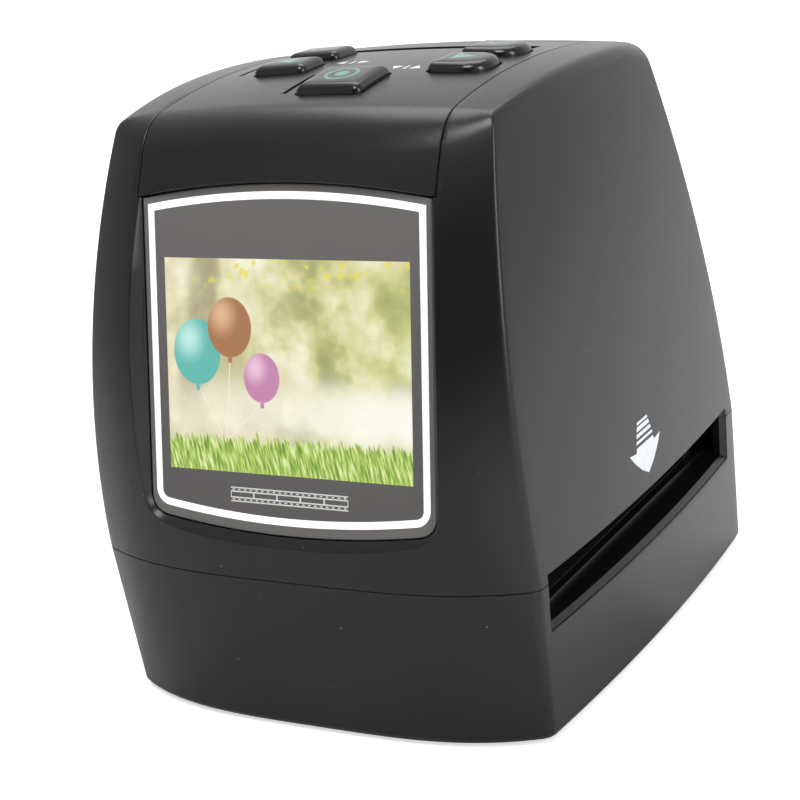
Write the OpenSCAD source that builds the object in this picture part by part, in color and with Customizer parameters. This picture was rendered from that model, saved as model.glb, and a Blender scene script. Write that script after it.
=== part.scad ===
// Film negative scanner: a desk unit with a display in front, buttons on top
// and a slot through its base for a film holder.
// The front faces -Y, up is +Z, and the origin is under the middle of the body.

/* [Body] */
// How far the feet stand out below the base
foot_h = 0.6; // [0.4:0.1:1.5]
// Height of the lower housing, from its underside to the seam
base_h = 26.6; // [26:0.1:29]
// Height of the top surface at its highest place, from the table
body_top = 102.3; // [100:0.1:112]
// Half width of the body at its front corners, on the seam
seam_half_w = 41.5; // [41:0.1:46]
// How much each side draws in from the seam down to the underside
base_draw = 1.35; // [0.5:0.05:2]
// How much each side leans in from the seam up to the shoulder
side_lean = 5.7; // [3:0.1:6.5]
// How much the sides bow out between their front and rear corners
side_bow = 1.85; // [1:0.05:3]
// How much wider the body is on each side at its rear corners than at its front ones
rear_widen = 0.45; // [0:0.05:1.5]
// Distance from the middle forward to the front corners, where they are furthest forward
front_corner_y = 39.7; // [39:0.1:43]
// Radius of the front, seen from the side
front_arc_r = 139; // [130:1:170]
// Height at which the front is furthest forward
front_arc_z = 36; // [30:1:42]
// How much the front bows out between its corners, on the seam
front_bow = 6.5; // [5:0.1:8]
// How much less the front bows out at the shoulder
front_bow_loss = 2.7; // [0:0.1:4]
// How much more the front bows out at the underside
front_bow_gain = 0.8; // [0:0.1:2]
// How sharply the front turns back near its corners
front_power = 3.5; // [2:0.1:5]
// How far the front corners sit further back at the underside
base_undercut = 1.3; // [0:0.1:3]
// Distance from the middle back to the rear corners, on the seam
rear_corner_y = 44; // [43.5:0.1:47]
// How much the back bows out between its corners
rear_bow = 1; // [0.6:0.1:3]
// How far the back leans forward from the seam up to the shoulder
rear_lean = 11.2; // [8:0.1:14]
// How far the back stands out from the seam down to the underside
rear_flare = 1.5; // [0:0.1:3]
// Height of the shoulder that the leans are measured to
shoulder_z = 96; // [90:1:98]
// Radius of the top from its highest line to the front
top_arc_r = 142; // [120:1:200]
// Radius of the top from its highest line to the back
rear_arc_r = 190; // [120:1:260]
// Radius of the top, from side to side
crown_r = 450; // [300:10:900]
// Thickness of the housing walls
wall = 2.2; // [1.8:0.1:2.6]
// Edge radius of the front corners
corner_r = 1.2; // [0.8:0.1:4]
// Edge radius of the rear corners
rear_corner_r = 1.6; // [1:0.1:8]
// Radius of the shoulder in the middle of the front
shoulder_r = 6; // [3:0.5:8]
// Radius of the shoulder in the middle of the back
rear_shoulder_r = 4; // [2:0.5:8]
// Radius of the edge between the top and the sides
top_edge_r = 2; // [1:0.1:3]
// Chamfer around the underside
base_edge = 0.8; // [0.3:0.1:1.5]

/* [Film slot] */
// Front end of the slot
slot_front_y = -36.5; // [-37.5:0.1:-30]
// Rear end of the slot
slot_rear_y = 37.4; // [30:0.1:38]
// How far the slot's floor lies below the seam
slot_drop = 6.8; // [6.2:0.1:7.6]
// Height of the slot's mouth
slot_h = 8.4; // [7.5:0.1:10]
// Chamfer along the bottom and the ends of the mouth
slot_chamfer = 1.4; // [0.5:0.1:2]
// Clear height of the film channel between its two guides
channel_h = 7.4; // [6:0.1:7.6]
// Length of the film window
window_l = 40; // [37:0.5:44]
// Width of the film window
window_w = 28; // [25:0.5:32]

/* [Display] */
// Distance from the lens panel to the body's side, measured on the seam
lens_margin = 14.4; // [14:0.1:16]
// Top of the lens panel above the display's centre
lens_top = 29.3; // [28:0.1:30]
// Bottom of the lens panel below the display's centre
lens_bottom = 27.2; // [25:0.1:28]
// Radius of the lens panel's top and bottom edges
lens_arc_r = 160; // [120:5:400]
// Corner size at the bottom of the lens panel
lens_corner = 3.2; // [1:0.1:6]
// Thickness of the lens panel
lens_t = 1.5; // [1:0.1:1.8]
// Backward tilt of the lens panel
lens_tilt = 12.9; // [11:0.1:15]
// Height of the display's centre
lens_z = 61.2; // [59:0.1:63]
// Distance from the middle forward to the lens panel's face at the display's centre
lens_y = 38.05; // [37.5:0.05:39]
// How far the display module reaches past the lens panel on each side
lcd_beyond = 3; // [2:0.1:3.4]
// Height of the display module
lcd_h = 42.7; // [40:0.1:44]
// Thickness of the display module
lcd_t = 2.4; // [1.8:0.1:3]

/* [Buttons] */
// How far the button caps stand out of the top cover
button_h = 2; // [1.2:0.1:3]
// Travel of a button
button_travel = 0.6; // [0.3:0.1:0.8]
// Gap around a button cap
button_gap = 0.25; // [0.15:0.05:0.4]
// Half width of the top cover strip
cover_half_w = 28; // [27.8:0.1:29]
// Thickness of the top cover strip
cover_t = 1.8; // [1.4:0.1:2]
// Rear end of the top cover strip
cover_rear_y = 25; // [22:0.5:27]

/* [Boards] */
// Height of the stands that carry the main board over the upper film guide
stand_h = 14.2; // [13:0.1:17]
// Thickness of the circuit boards
board_t = 1.2; // [0.8:0.1:1.6]
// How far the film guides reach past the film window on each side
guide_beyond = 15.5; // [14.5:0.1:17]
// Height of the camera's tower over the upper film guide
tower_h = 32.2; // [28:0.1:38]

/* [Hidden] */
$fn = 48;
// names of the sub-parts, one solid model each

// clearances
fit_gap = 0.15;
shaft_gap = 0.05;
lens_gap = 0.2;
seat_gap = 0.02;
board_gap = 0.4;
// a distance beyond the body, for cuts that go right through
beyond = 2 * body_top;

// heights that follow from the sizes above
z_seam = foot_h + base_h;
z_floor = foot_h + wall;
slot_floor_z = z_seam - slot_drop;
slot_top_z = slot_floor_z + slot_h;
guide_t = 2;
channel_top_z = slot_floor_z + channel_h;
tower_foot_z = channel_top_z + guide_t;
tower_top_z = tower_foot_z + tower_h;
board_z = tower_foot_z + stand_h;
guide_half_l = window_l / 2 + guide_beyond;
board_half_w = guide_half_l - 1.5;
lens_half_w = seam_half_w - lens_margin;
lcd_w = 2 * (lens_half_w + lcd_beyond);

// ---- outline of the body ----
// share of a lean reached at height z, 0 on the seam and 1 at the shoulder
function up(z) = (z - z_seam) / (shoulder_z - z_seam);
// share of the base's draft at height z, 0 on the seam and 1 at the underside
function down(z) = (z_seam - z) / base_h;
function bend(t, curve) = t * (1 - curve) + t * t * curve;

side_curve = 0.69;
bow_curve = 0.48;
rear_curve = 0.6;

function half_w(z) = z < z_seam
    ? seam_half_w - base_draw * down(z)
    : seam_half_w - side_lean * bend(up(z), side_curve);
function arc_back(z) = front_arc_r - sqrt(pow(front_arc_r, 2) - pow(z - front_arc_z, 2));
function front_y(z) = z < z_seam
    ? -front_corner_y + arc_back(z_seam) + base_undercut * down(z)
    : -front_corner_y + arc_back(z);
function bow(z) = z < z_seam
    ? front_bow + front_bow_gain * down(z)
    : front_bow - front_bow_loss * bend(up(z), bow_curve);
function rear_y(z) = z < z_seam
    ? rear_corner_y + rear_flare * down(z)
    : rear_corner_y - rear_lean * bend(up(z), rear_curve);

// the four curves around the body at height z, drawn in by d; each takes a share from 0 to 1
function front_pt(z, d, f) =
    [(half_w(z) - d) * f, front_y(z) + d - bow(z) * (1 - pow(f, front_power))];
function side_pt(z, d, s) =
    [half_w(z) - d + rear_widen * s + side_bow * 4 * s * (1 - s),
     (front_y(z) + d) * (1 - s) + (rear_y(z) - d) * s];
function rear_pt(z, d, g) =
    [(half_w(z) - d + rear_widen) * g, rear_y(z) - d + rear_bow * (1 - g * g)];
function bezier(a, c, b, t) = a * pow(1 - t, 2) + c * 2 * t * (1 - t) + b * t * t;

front_shares = [0, 0.2, 0.4, 0.55, 0.68, 0.78, 0.86, 0.92];
side_shares = [0.14, 0.3, 0.5, 0.7, 0.85];
rear_shares = [0.7, 0.35, 0];
corner_shares = [0, 0.33, 0.67, 1];

// one half of a ring, from the middle of the front to the middle of the back
function half_ring(z, d) =
    let (f1 = 1 - corner_r / half_w(z),
         s1 = corner_r / (rear_y(z) - front_y(z)),
         s2 = 1 - rear_corner_r / (rear_y(z) - front_y(z)),
         g2 = 1 - rear_corner_r / half_w(z))
    concat(
        [for (f = front_shares) front_pt(z, d, f)],
        [for (t = corner_shares)
            bezier(front_pt(z, d, f1), front_pt(z, d, 1), side_pt(z, d, s1), t)],
        [for (s = side_shares) side_pt(z, d, s)],
        [for (t = corner_shares)
            bezier(side_pt(z, d, s2), side_pt(z, d, 1), rear_pt(z, d, g2), t)],
        [for (g = rear_shares) rear_pt(z, d, g)]);
half_n = len(half_ring(z_seam, 0));

// height of the top surface, lowered by d
function sag(r, x) = r - sqrt(pow(r, 2) - pow(x, 2));
function top_z(p, d) = body_top - d - sag(p[1] > 0 ? rear_arc_r : top_arc_r, p[1]) - sag(crown_r, p[0]);

// height at which point i of a ring meets the top surface, found by steps
function meet_z(i, d, z, steps) =
    steps == 0 ? z : meet_z(i, d, top_z(half_ring(z, d)[i], d), steps - 1);
// radius of the upper edge at point i: soft in the middle of the front and back
function edge_r(i) = i < 8
    ? shoulder_r + (top_edge_r - shoulder_r) * pow(front_shares[i], 4)
    : i < half_n - 7 ? top_edge_r : rear_shoulder_r;

// point i on level k: levels 0 to 6 climb the wall, 7 to 10 round the edge, the rest cross the top
wall_steps = 6;
edge_steps = 4;
top_shares = [0.82, 0.62, 0.4, 0.18];
levels = wall_steps + edge_steps + len(top_shares) + 1;
function with_top(p, d) = [p[0], p[1], top_z(p, d)];
function drawn_in(p, r) = p * (1 - r / norm(p));
function wall_pt(i, d, z) = let (p = half_ring(z, d)[i]) [p[0], p[1], z];
function level_pt(i, d, k, z0, zm) =
    let (rim = wall_pt(i, d, zm), r = edge_r(i), low = wall_pt(i, d, zm - r),
         inner = with_top(drawn_in([rim[0], rim[1]], r), d))
    k <= wall_steps ? wall_pt(i, d, z0 + (zm - r - z0) * k / wall_steps)
    : k <= wall_steps + edge_steps ? bezier(low, rim, inner, (k - wall_steps) / edge_steps)
    : with_top([inner[0], inner[1]] * top_shares[k - wall_steps - edge_steps - 1], d);

// a whole ring, from its half: the other side is its mirror image
function mirrored(h) = concat(h, [for (i = [len(h) - 2:-1:1]) [-h[i][0], h[i][1], h[i][2]]]);
function upper_rings(d, z0) =
    let (zm = [for (i = [0:half_n - 1]) meet_z(i, d, shoulder_z, 5)])
    [for (k = [0:levels - 1]) mirrored([for (i = [0:half_n - 1]) level_pt(i, d, k, z0, zm[i])])];
function flat_ring(z, d) = mirrored([for (p = half_ring(z, d)) [p[0], p[1], z]]);

// a closed skin over rings of equal count, from the lowest to the highest
module skin(rings) {
    n = len(rings[0]);
    m = len(rings);
    polyhedron(
        points = [for (r = rings) for (p = r) p],
        faces = concat(
            [[for (i = [0:n - 1]) i]],
            [[for (i = [n - 1:-1:0]) (m - 1) * n + i]],
            [for (k = [0:m - 2]) for (i = [0:n - 1])
                [k * n + i, (k + 1) * n + i, (k + 1) * n + (i + 1) % n]],
            [for (k = [0:m - 2]) for (i = [0:n - 1])
                [k * n + i, (k + 1) * n + (i + 1) % n, k * n + (i + 1) % n]]),
        convexity = 4);
}

module upper_body(d, z0) {
    skin(upper_rings(d, z0));
}

module lower_body() {
    skin([flat_ring(foot_h, base_edge), flat_ring(foot_h + base_edge, 0), flat_ring(z_seam, 0)]);
}

module lower_hollow() {
    skin([flat_ring(z_floor, wall), flat_ring(z_seam + 1, wall)]);
}

// a block between two corners
module block(low, high) {
    translate(low) cube(high - low);
}

// ---- lens panel and pocket ----
// places its children on the lens panel: x across, y up the panel, z out of it
module on_lens() {
    translate([0, -lens_y, lens_z]) rotate([90 - lens_tilt, 0, 0]) children();
}

function arc_drop(x) = lens_arc_r - sqrt(pow(lens_arc_r, 2) - x * x);
// the lens outline grown by side, top and bottom amounts, anticlockwise from the lower right
function lens_points(side, top, bottom) =
    let (w = lens_half_w + side, c = lens_corner + side,
         low = -lens_bottom - bottom, high = lens_top + top)
    concat(
        [for (i = [0:4]) bezier([w - c, low + arc_drop(w - c)], [w, low + arc_drop(w)],
            [w, low + arc_drop(w) + c], i / 4)],
        [for (i = [0:10]) let (x = w * (1 - i / 5)) [x, high - arc_drop(x)]],
        [for (i = [0:4]) bezier([-w, low + arc_drop(w) + c], [-w, low + arc_drop(w)],
            [c - w, low + arc_drop(w - c)], i / 4)],
        [for (i = [1:7]) let (x = (w - c) * (i / 4 - 1)) [x, low + arc_drop(x)]]);

module lens_outline(g) {
    polygon(lens_points(g, g, g));
}

pocket_side_slope = 0.53;
pocket_bottom_slope = 1.1;
pocket_reach = 8;
// the pocket in the front: straight around the panel, then flaring out to the surface
module pocket() {
    on_lens() {
        translate([0, 0, -lens_t]) linear_extrude(lens_t + 0.01) lens_outline(lens_gap);
        skin([
            [for (p = lens_points(lens_gap, lens_gap, lens_gap)) [p[0], p[1], 0]],
            [for (p = lens_points(lens_gap + pocket_side_slope * pocket_reach,
                lens_gap + pocket_side_slope * pocket_reach,
                lens_gap + pocket_bottom_slope * pocket_reach)) [p[0], p[1], pocket_reach]]]);
    }
}

pocket_floor_t = 1.2;
pocket_wall = 1.8;
// how far the carrier plate behind the pocket reaches to each side and up
carrier_half_w = lcd_w / 2 + 5.4;
carrier_half_h = 19;
// the tub that holds the panel, with the plate that carries the display's bracket
module pocket_tub() {
    intersection() {
        on_lens() {
            translate([0, 0, -lens_t - pocket_floor_t]) linear_extrude(12) lens_outline(pocket_wall);
            block([-carrier_half_w, -carrier_half_h, -lens_t - pocket_floor_t],
                [carrier_half_w, carrier_half_h, -lens_t]);
        }
        upper_body(cover_t + seat_gap, z_seam);
    }
}

view_half_w = 25;
view_half_h = 19;
module view_opening() {
    on_lens() block([-view_half_w, -view_half_h, -10], [view_half_w, view_half_h, 0]);
}

// ---- film slot ----
// the mouth in each side wall, with a chamfer along its bottom and ends
module slot_cut() {
    block([-beyond, slot_front_y, slot_floor_z], [beyond, slot_rear_y, slot_top_z]);
    for (side = [-1, 1])
        skin([mouth_ring(side, 0), mouth_ring(side, 1)]);
}

mouth_depth = 1.6;
mouth_half_w = half_w(slot_floor_z) + side_bow;
// the flare of one mouth: share 0 is deep in the wall, share 1 outside it
function mouth_ring(side, share) =
    let (x = side * (mouth_half_w - mouth_depth + (mouth_depth + 2) * share),
         g = slot_chamfer * share * (mouth_depth + 2) / mouth_depth,
         y0 = slot_front_y, y1 = slot_rear_y + g, z0 = slot_floor_z - g, z1 = slot_top_z,
         r = [[x, y0, z0], [x, y1, z0], [x, y1, z1], [x, y0, z1]])
    side > 0 ? r : [r[3], r[2], r[1], r[0]];

// ---- screws ----
// a screw with its head down at z, pointing up
module screw_up(p, z, head_r, head_h, shank_r, length) {
    translate([p[0], p[1], z]) {
        cylinder(h = head_h, r = head_r);
        cylinder(h = head_h + length, r = shank_r);
    }
}

// a screw with the underside of its head at z, pointing down
module screw_down(p, z, head_r, head_h, shank_r, length) {
    translate([p[0], p[1], z]) {
        difference() {
            cylinder(h = head_h, r = head_r);
            translate([0, 0, head_h * 0.5]) cylinder(h = head_h, r = head_r * 0.45, $fn = 6);
        }
        translate([0, 0, -length]) cylinder(h = length, r = shank_r);
    }
}

function four(x, y0, y1) = [[-x, y0], [x, y0], [-x, y1], [x, y1]];

case_boss_r = 3.5;
case_head_r = 2.1;
case_head_h = 1.6;
case_shank_r = 1.1;
case_screw_l = 14;
case_front_y = slot_front_y - case_boss_r - 0.2;
case_rear_y = slot_rear_y + case_boss_r - 0.3;
case_x = 22;
case_head_z = z_seam - 10;
case_points = four(case_x, case_front_y, case_rear_y);

foot_r = 4;
foot_sink = 1;
foot_inset = 11.5;
foot_points = four(seam_half_w - foot_inset, foot_inset - front_corner_y, rear_corner_y - foot_inset);

// ---- lower housing ----
guide_gap = 0.3;
guide_front_y = slot_front_y + guide_gap;
guide_rear_y = slot_rear_y - 2 * guide_gap;
rail_w = 3;
guide_rest_r = 2.5;
led_half_w = window_l / 2 + 6;
led_half_d = window_w / 2 + 7;
led_pad_h = 1.2;
led_pad_points = four(led_half_w - 4, 4 - led_half_d, led_half_d - 4);
box_wall = 1.5;
box_half_w = led_half_w + board_gap + box_wall;
box_half_d = led_half_d + board_gap + box_wall;
guide_rest_points = four(box_half_w + guide_rest_r + 0.6, guide_front_y + 10, guide_rear_y - 10);
module lower_housing() {
    color([0.16, 0.16, 0.165])
    difference() {
        union() {
            difference() {
                lower_body();
                lower_hollow();
            }
            // shelves that lead the film holder from the mouths to the guide
            intersection() {
                for (turn = [0, 1])
                    mirror([turn, 0, 0])
                        block([guide_half_l + guide_gap, slot_front_y - wall / 2, slot_floor_z - guide_t],
                            [beyond, slot_rear_y + wall / 2, slot_floor_z]);
                lower_body();
            }
            intersection() {
                for (p = case_points)
                    translate([p[0], p[1], z_floor - 1])
                        cylinder(h = z_seam - z_floor + 1, r = case_boss_r);
                lower_body();
            }
            for (p = guide_rest_points)
                translate([p[0], p[1], z_floor - 0.5])
                    cylinder(h = slot_floor_z - guide_t - z_floor + 0.5, r = guide_rest_r);
            for (p = led_pad_points)
                translate([p[0], p[1], z_floor - 0.5]) cylinder(h = led_pad_h + 0.5, r = guide_rest_r);
        }
        slot_cut();
        for (p = case_points)
            translate([p[0], p[1], 0]) {
                cylinder(h = z_seam + 1, r = case_shank_r + fit_gap);
                cylinder(h = case_head_z + case_head_h, r = case_head_r + fit_gap);
            }
        for (p = foot_points)
            translate([p[0], p[1], 0]) cylinder(h = foot_h + foot_sink, r = foot_r + fit_gap);
    }
}

module rubber_feet() {
    color([0.08, 0.08, 0.08])
    for (p = foot_points)
        translate([p[0], p[1], 0]) cylinder(h = foot_h + foot_sink, r = foot_r);
}

module case_screws() {
    color([0.55, 0.55, 0.56])
    for (p = case_points)
        screw_up(p, case_head_z, case_head_r, case_head_h,
            case_shank_r, case_screw_l);
}

// ---- top cover strip ----
side_ledge = 1.3;
rear_ledge = 2.6;
ledge_t = 1.3;
module cover_zone(g) {
    difference() {
        block([-cover_half_w + g, -beyond, lens_z], [cover_half_w - g, cover_rear_y - g, beyond]);
        on_lens() translate([0, 0, -beyond / 2]) linear_extrude(beyond) cover_stop(g);
    }
}

// everything below the lens panel's top edge
module cover_stop(g) {
    far = seam_half_w;
    polygon(concat([[-far, -beyond], [far, -beyond]],
        [for (i = [0:12]) let (x = far * (1 - i / 6)) [x, lens_top + lens_gap + g - arc_drop(x)]]));
}

// ---- buttons: [centre x, centre y, width, depth, round right end] ----
scan_at = [2.5, -13.1, 12.4, 11.2, 0];
left_at = [-14.7, -2.1, 10.4, 7.8, 0];
right_at = [19.9, -2.8, 10.6, 9.2, 1];
power_at = [-14.7, 8.9, 10.4, 7.8, 0];
ok_at = [19.9, 8.9, 10.6, 9.2, 1];
button_list = [power_at, left_at, scan_at, right_at, ok_at];
function cover_z(b) = top_z([b[0], b[1]], 0);

switch_w = 6;
switch_h = 3.4;
plunger_r = 1.7;
plunger_l = 2.8;
// the switches' plungers end at this height, under the buttons
plunger_top_z = cover_z(ok_at) - cover_t - 2.7;
switch_top_z = plunger_top_z - button_travel - 0.3;
button_board_z = switch_top_z - switch_h - board_t;

// outline of a button, grown by g
module button_outline(b, g) {
    w = b[2] / 2 + g;
    h = b[3] / 2 + g;
    r = b[4] == 1 ? min(w, h) - 0.4 : max(0.2, 1.4 + g);
    l = max(0.1, 1.2 + g);
    translate([b[0], b[1]]) {
        polygon([[-w + l, -h], [w - r, -h], [w - r, h], [-w + l, h], [-w, h - l], [-w, l - h]]);
        translate([w - r - 0.01, r - h]) square([r + 0.01, 2 * (h - r)]);
        for (y = [r - h, h - r]) translate([w - r, y]) circle(r);
    }
}

groove_t = 0.7;
groove_deep = 0.35;
rear_groove_y = 16.2;
side_groove_x = -24;
// the fine lines cut into the cover beside the buttons
module cover_grooves() {
    bottom = body_top - 6;
    difference() {
        union() {
            block([side_groove_x, rear_groove_y, bottom], [-side_groove_x, rear_groove_y + groove_t, 110]);
            block([side_groove_x, -4.3, bottom], [side_groove_x + groove_t, rear_groove_y + 0.1, 110]);
            block([-6.4, -17.8, bottom], [-6.4 + groove_t, -9.5, 110]);
        }
        upper_body(groove_deep, z_seam);
    }
}

button_post_points = [[left_at[0] + 1.2, scan_at[1] - 1.6], [right_at[0] - 1.2, scan_at[1] - 1.6],
    [power_at[0] + 11.7, power_at[1] + 3.6], [ok_at[0] - 11.7, ok_at[1] + 3.4]];
post_r = 2.2;
pilot_r = 0.85;
small_screw_r = pilot_r - shaft_gap;
button_post_l = 5;
module top_cover() {
    color([0.2, 0.2, 0.205])
    difference() {
        union() {
            intersection() {
                difference() {
                    upper_body(0, z_seam);
                    upper_body(cover_t, z_seam - 1);
                }
                cover_zone(fit_gap);
            }
            for (p = button_post_points)
                translate([p[0], p[1], button_board_z + board_t])
                    cylinder(h = top_z(p, 0) - 0.9 - button_board_z - board_t, r = post_r);
        }
        for (b = button_list)
            translate([0, 0, 80]) linear_extrude(40) button_outline(b, button_gap);
        for (p = button_post_points)
            translate([p[0], p[1], button_board_z])
                cylinder(h = button_post_l + board_t, r = pilot_r);
        cover_grooves();
    }
}

flange_t = 1;
flange_rim = 0.55;
flange_gap = 0.3;
// lowest height of the cover's underside around a button
function cover_low(b) = -cover_t + min([for (x = [-1, 1]) for (y = [-1, 1])
    top_z([b[0] + x * (b[2] / 2 + flange_rim), b[1] + y * (b[3] / 2 + flange_rim)], 0)]);
// the rounded side of a cap: share of its height, and how far it is drawn in up to there
cap_steps = [[0, 0], [0.25, 0], [0.5, 0.3], [0.72, 0.7], [0.89, 1.15], [1, 1.7]];
// a button: pillowed cap, flange under the cover and a foot on the switch's plunger
module button(b) {
    z = cover_z(b);
    under = cover_low(b) - flange_gap;
    color([0.1, 0.1, 0.105]) {
        translate([0, 0, under - flange_t]) linear_extrude(flange_t) button_outline(b, flange_rim);
        translate([0, 0, under]) linear_extrude(z - under + 0.01) button_outline(b, 0);
        for (i = [1:len(cap_steps) - 1])
            translate([0, 0, z + button_h * cap_steps[i - 1][0] - 0.01])
                linear_extrude(button_h * (cap_steps[i][0] - cap_steps[i - 1][0]) + 0.01)
                    button_outline(b, -cap_steps[i][1]);
        translate([b[0], b[1], plunger_top_z])
            cylinder(h = under - flange_t - plunger_top_z + 0.1, r = plunger_r + 0.4);
    }
}

module plunger(b) {
    color([0.12, 0.12, 0.12])
    translate([b[0], b[1], plunger_top_z - plunger_l]) cylinder(h = plunger_l, r = plunger_r);
}

module switch_bodies() {
    color([0.55, 0.56, 0.58])
    for (b = button_list)
        difference() {
            translate([b[0], b[1], switch_top_z - switch_h])
                block([-switch_w / 2, -switch_w / 2, 0], [switch_w / 2, switch_w / 2, switch_h]);
            translate([b[0], b[1], plunger_top_z - plunger_l - button_travel - 0.2])
                cylinder(h = plunger_l + 3, r = plunger_r + 0.1);
        }
}

module button_board() {
    color([0.1, 0.35, 0.2])
    difference() {
        block([4.5 - cover_half_w, scan_at[1] - 6.6, button_board_z],
            [cover_half_w - 0.8, ok_at[1] + 6.9, button_board_z + board_t]);
        for (p = button_post_points)
            translate([p[0], p[1], button_board_z - 1])
                cylinder(h = board_t + 2, r = pilot_r + fit_gap);
    }
}

module button_board_screws() {
    color([0.6, 0.6, 0.62])
    for (p = button_post_points)
        translate([p[0], p[1], button_board_z - 1]) {
            cylinder(h = 1, r = 1.6);
            cylinder(h = 1 + board_t + button_post_l - 1.2, r = small_screw_r);
        }
}

// ---- upper housing ----
case_post_r = 3;
case_post_top = z_seam + 8;
socket_z = board_z + board_t;
// sockets: [middle x, width, height]
sd_at = [-19.5, 27, 3];
usb_at = [8, 8, 4.2];
av_at = [22, 7.4, 5.6];
// the rear edge of the main board stays clear of the leaning wall behind the highest socket
board_rear_y = rear_y(socket_z + av_at[2]) - wall - 0.3;
bracket_boss_x = lcd_w / 2 + 2.7;
bracket_boss_v = 14;
module upper_housing() {
    color([0.16, 0.16, 0.165])
    difference() {
        union() {
            difference() {
                upper_body(0, z_seam);
                upper_body(wall, z_seam - 1);
                cover_zone(0);
            }
            // ledges under the edges of the top cover
            intersection() {
                difference() {
                    upper_body(cover_t + seat_gap, z_seam);
                    upper_body(cover_t + ledge_t, z_seam - 1);
                }
                cover_zone(-1.5);
                difference() {
                    block([-beyond, -beyond, shoulder_z - 12], [beyond, cover_rear_y + 2, beyond]);
                    block([side_ledge - cover_half_w, -beyond, 0],
                        [cover_half_w - side_ledge, cover_rear_y - rear_ledge, beyond]);
                }
            }
            pocket_tub();
            bracket_bosses();
            case_posts();
        }
        pocket();
        view_opening();
        slot_cut();
        for (p = case_points)
            translate([p[0], p[1], z_seam - 1]) cylinder(h = 7.2, r = case_shank_r + shaft_gap);
        bracket_pilots();
        socket_cuts();
    }
}

// posts for the case screws, with a web to the wall
module case_posts() {
    intersection() {
        for (p = case_points) {
            translate([p[0], p[1], z_seam])
                cylinder(h = case_post_top - z_seam, r = case_post_r);
            web_y = p[1] > 0 ? p[1] : p[1] - 3 * wall;
            translate([p[0] - wall / 2, web_y, z_seam]) cube([wall, 3 * wall, case_post_top - z_seam]);
        }
        upper_body(0.6, z_seam);
    }
}

function bracket_points() = [for (x = [-1, 1]) for (v = [-1, 1]) [x * bracket_boss_x, v * bracket_boss_v]];
carrier_back = lens_t + pocket_floor_t;
module bracket_bosses() {
    on_lens()
        for (p = bracket_points())
            translate([p[0], p[1], -carrier_back - lcd_t]) cylinder(h = lcd_t + 0.5, r = 2.1);
}

module bracket_pilots() {
    on_lens()
        for (p = bracket_points())
            translate([p[0], p[1], -carrier_back - lcd_t - 1])
                cylinder(h = lcd_t + 1.6, r = pilot_r);
}

port_gap = 0.5;
// openings in the back for the sockets
module socket_cuts() {
    for (s = [sd_at, usb_at])
        block([s[0] - s[1] / 2 - port_gap, board_rear_y - 9, socket_z - port_gap],
            [s[0] + s[1] / 2 + port_gap, beyond, socket_z + s[2] + port_gap]);
    translate([av_at[0], board_rear_y - 9, socket_z + av_at[2] / 2]) rotate([-90, 0, 0])
        cylinder(h = beyond, r = av_at[2] / 2 + port_gap);
}

// ---- display ----
module lcd_window() {
    color([0.42, 0.41, 0.41])
    on_lens() translate([0, 0, -lens_t]) linear_extrude(lens_t) lens_outline(0);
}

lcd_drop = 1;
module lcd_module() {
    color([0.12, 0.13, 0.15])
    on_lens()
        block([-lcd_w / 2, -lcd_h / 2 - lcd_drop, -carrier_back - lcd_t],
            [lcd_w / 2, lcd_h / 2 - lcd_drop, -carrier_back]);
}

bracket_t = 0.8;
module lcd_bracket() {
    color([0.62, 0.63, 0.64])
    on_lens()
        translate([0, 0, -carrier_back - lcd_t - bracket_t])
        difference() {
            block([-bracket_boss_x - 2.2, -bracket_boss_v - 3, 0],
                [bracket_boss_x + 2.2, bracket_boss_v + 3, bracket_t]);
            block([-18, -9, -1], [18, 9, bracket_t + 1]);
            for (p = bracket_points())
                translate([p[0], p[1], -1]) cylinder(h = bracket_t + 2, r = pilot_r + fit_gap);
        }
}

module bracket_screws() {
    color([0.6, 0.6, 0.62])
    on_lens()
        for (p = bracket_points())
            translate([p[0], p[1], -carrier_back - lcd_t - bracket_t - 1]) {
                cylinder(h = 1, r = 1.6);
                cylinder(h = 1 + bracket_t + lcd_t - 0.2, r = small_screw_r);
            }
}

// ---- film guides and light ----
diffuser_t = 1.5;
guide_screw_points = four(guide_half_l - 6.5, guide_front_y + rail_w / 2, guide_rear_y - rail_w / 2);
module film_guide_lower() {
    color([0.09, 0.09, 0.095])
    difference() {
        union() {
            block([-guide_half_l, guide_front_y, slot_floor_z - guide_t],
                [guide_half_l, guide_rear_y, slot_floor_z]);
            for (y = [guide_front_y, guide_rear_y - rail_w])
                block([-guide_half_l, y, slot_floor_z - guide_t],
                    [guide_half_l, y + rail_w, channel_top_z]);
        }
        block([-window_l / 2, -window_w / 2, slot_floor_z - guide_t - 1],
            [window_l / 2, window_w / 2, slot_floor_z + 1]);
        for (p = guide_screw_points)
            translate([p[0], p[1], slot_floor_z - guide_t - 1])
                cylinder(h = channel_h + guide_t + 2, r = pilot_r);
    }
}

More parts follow.
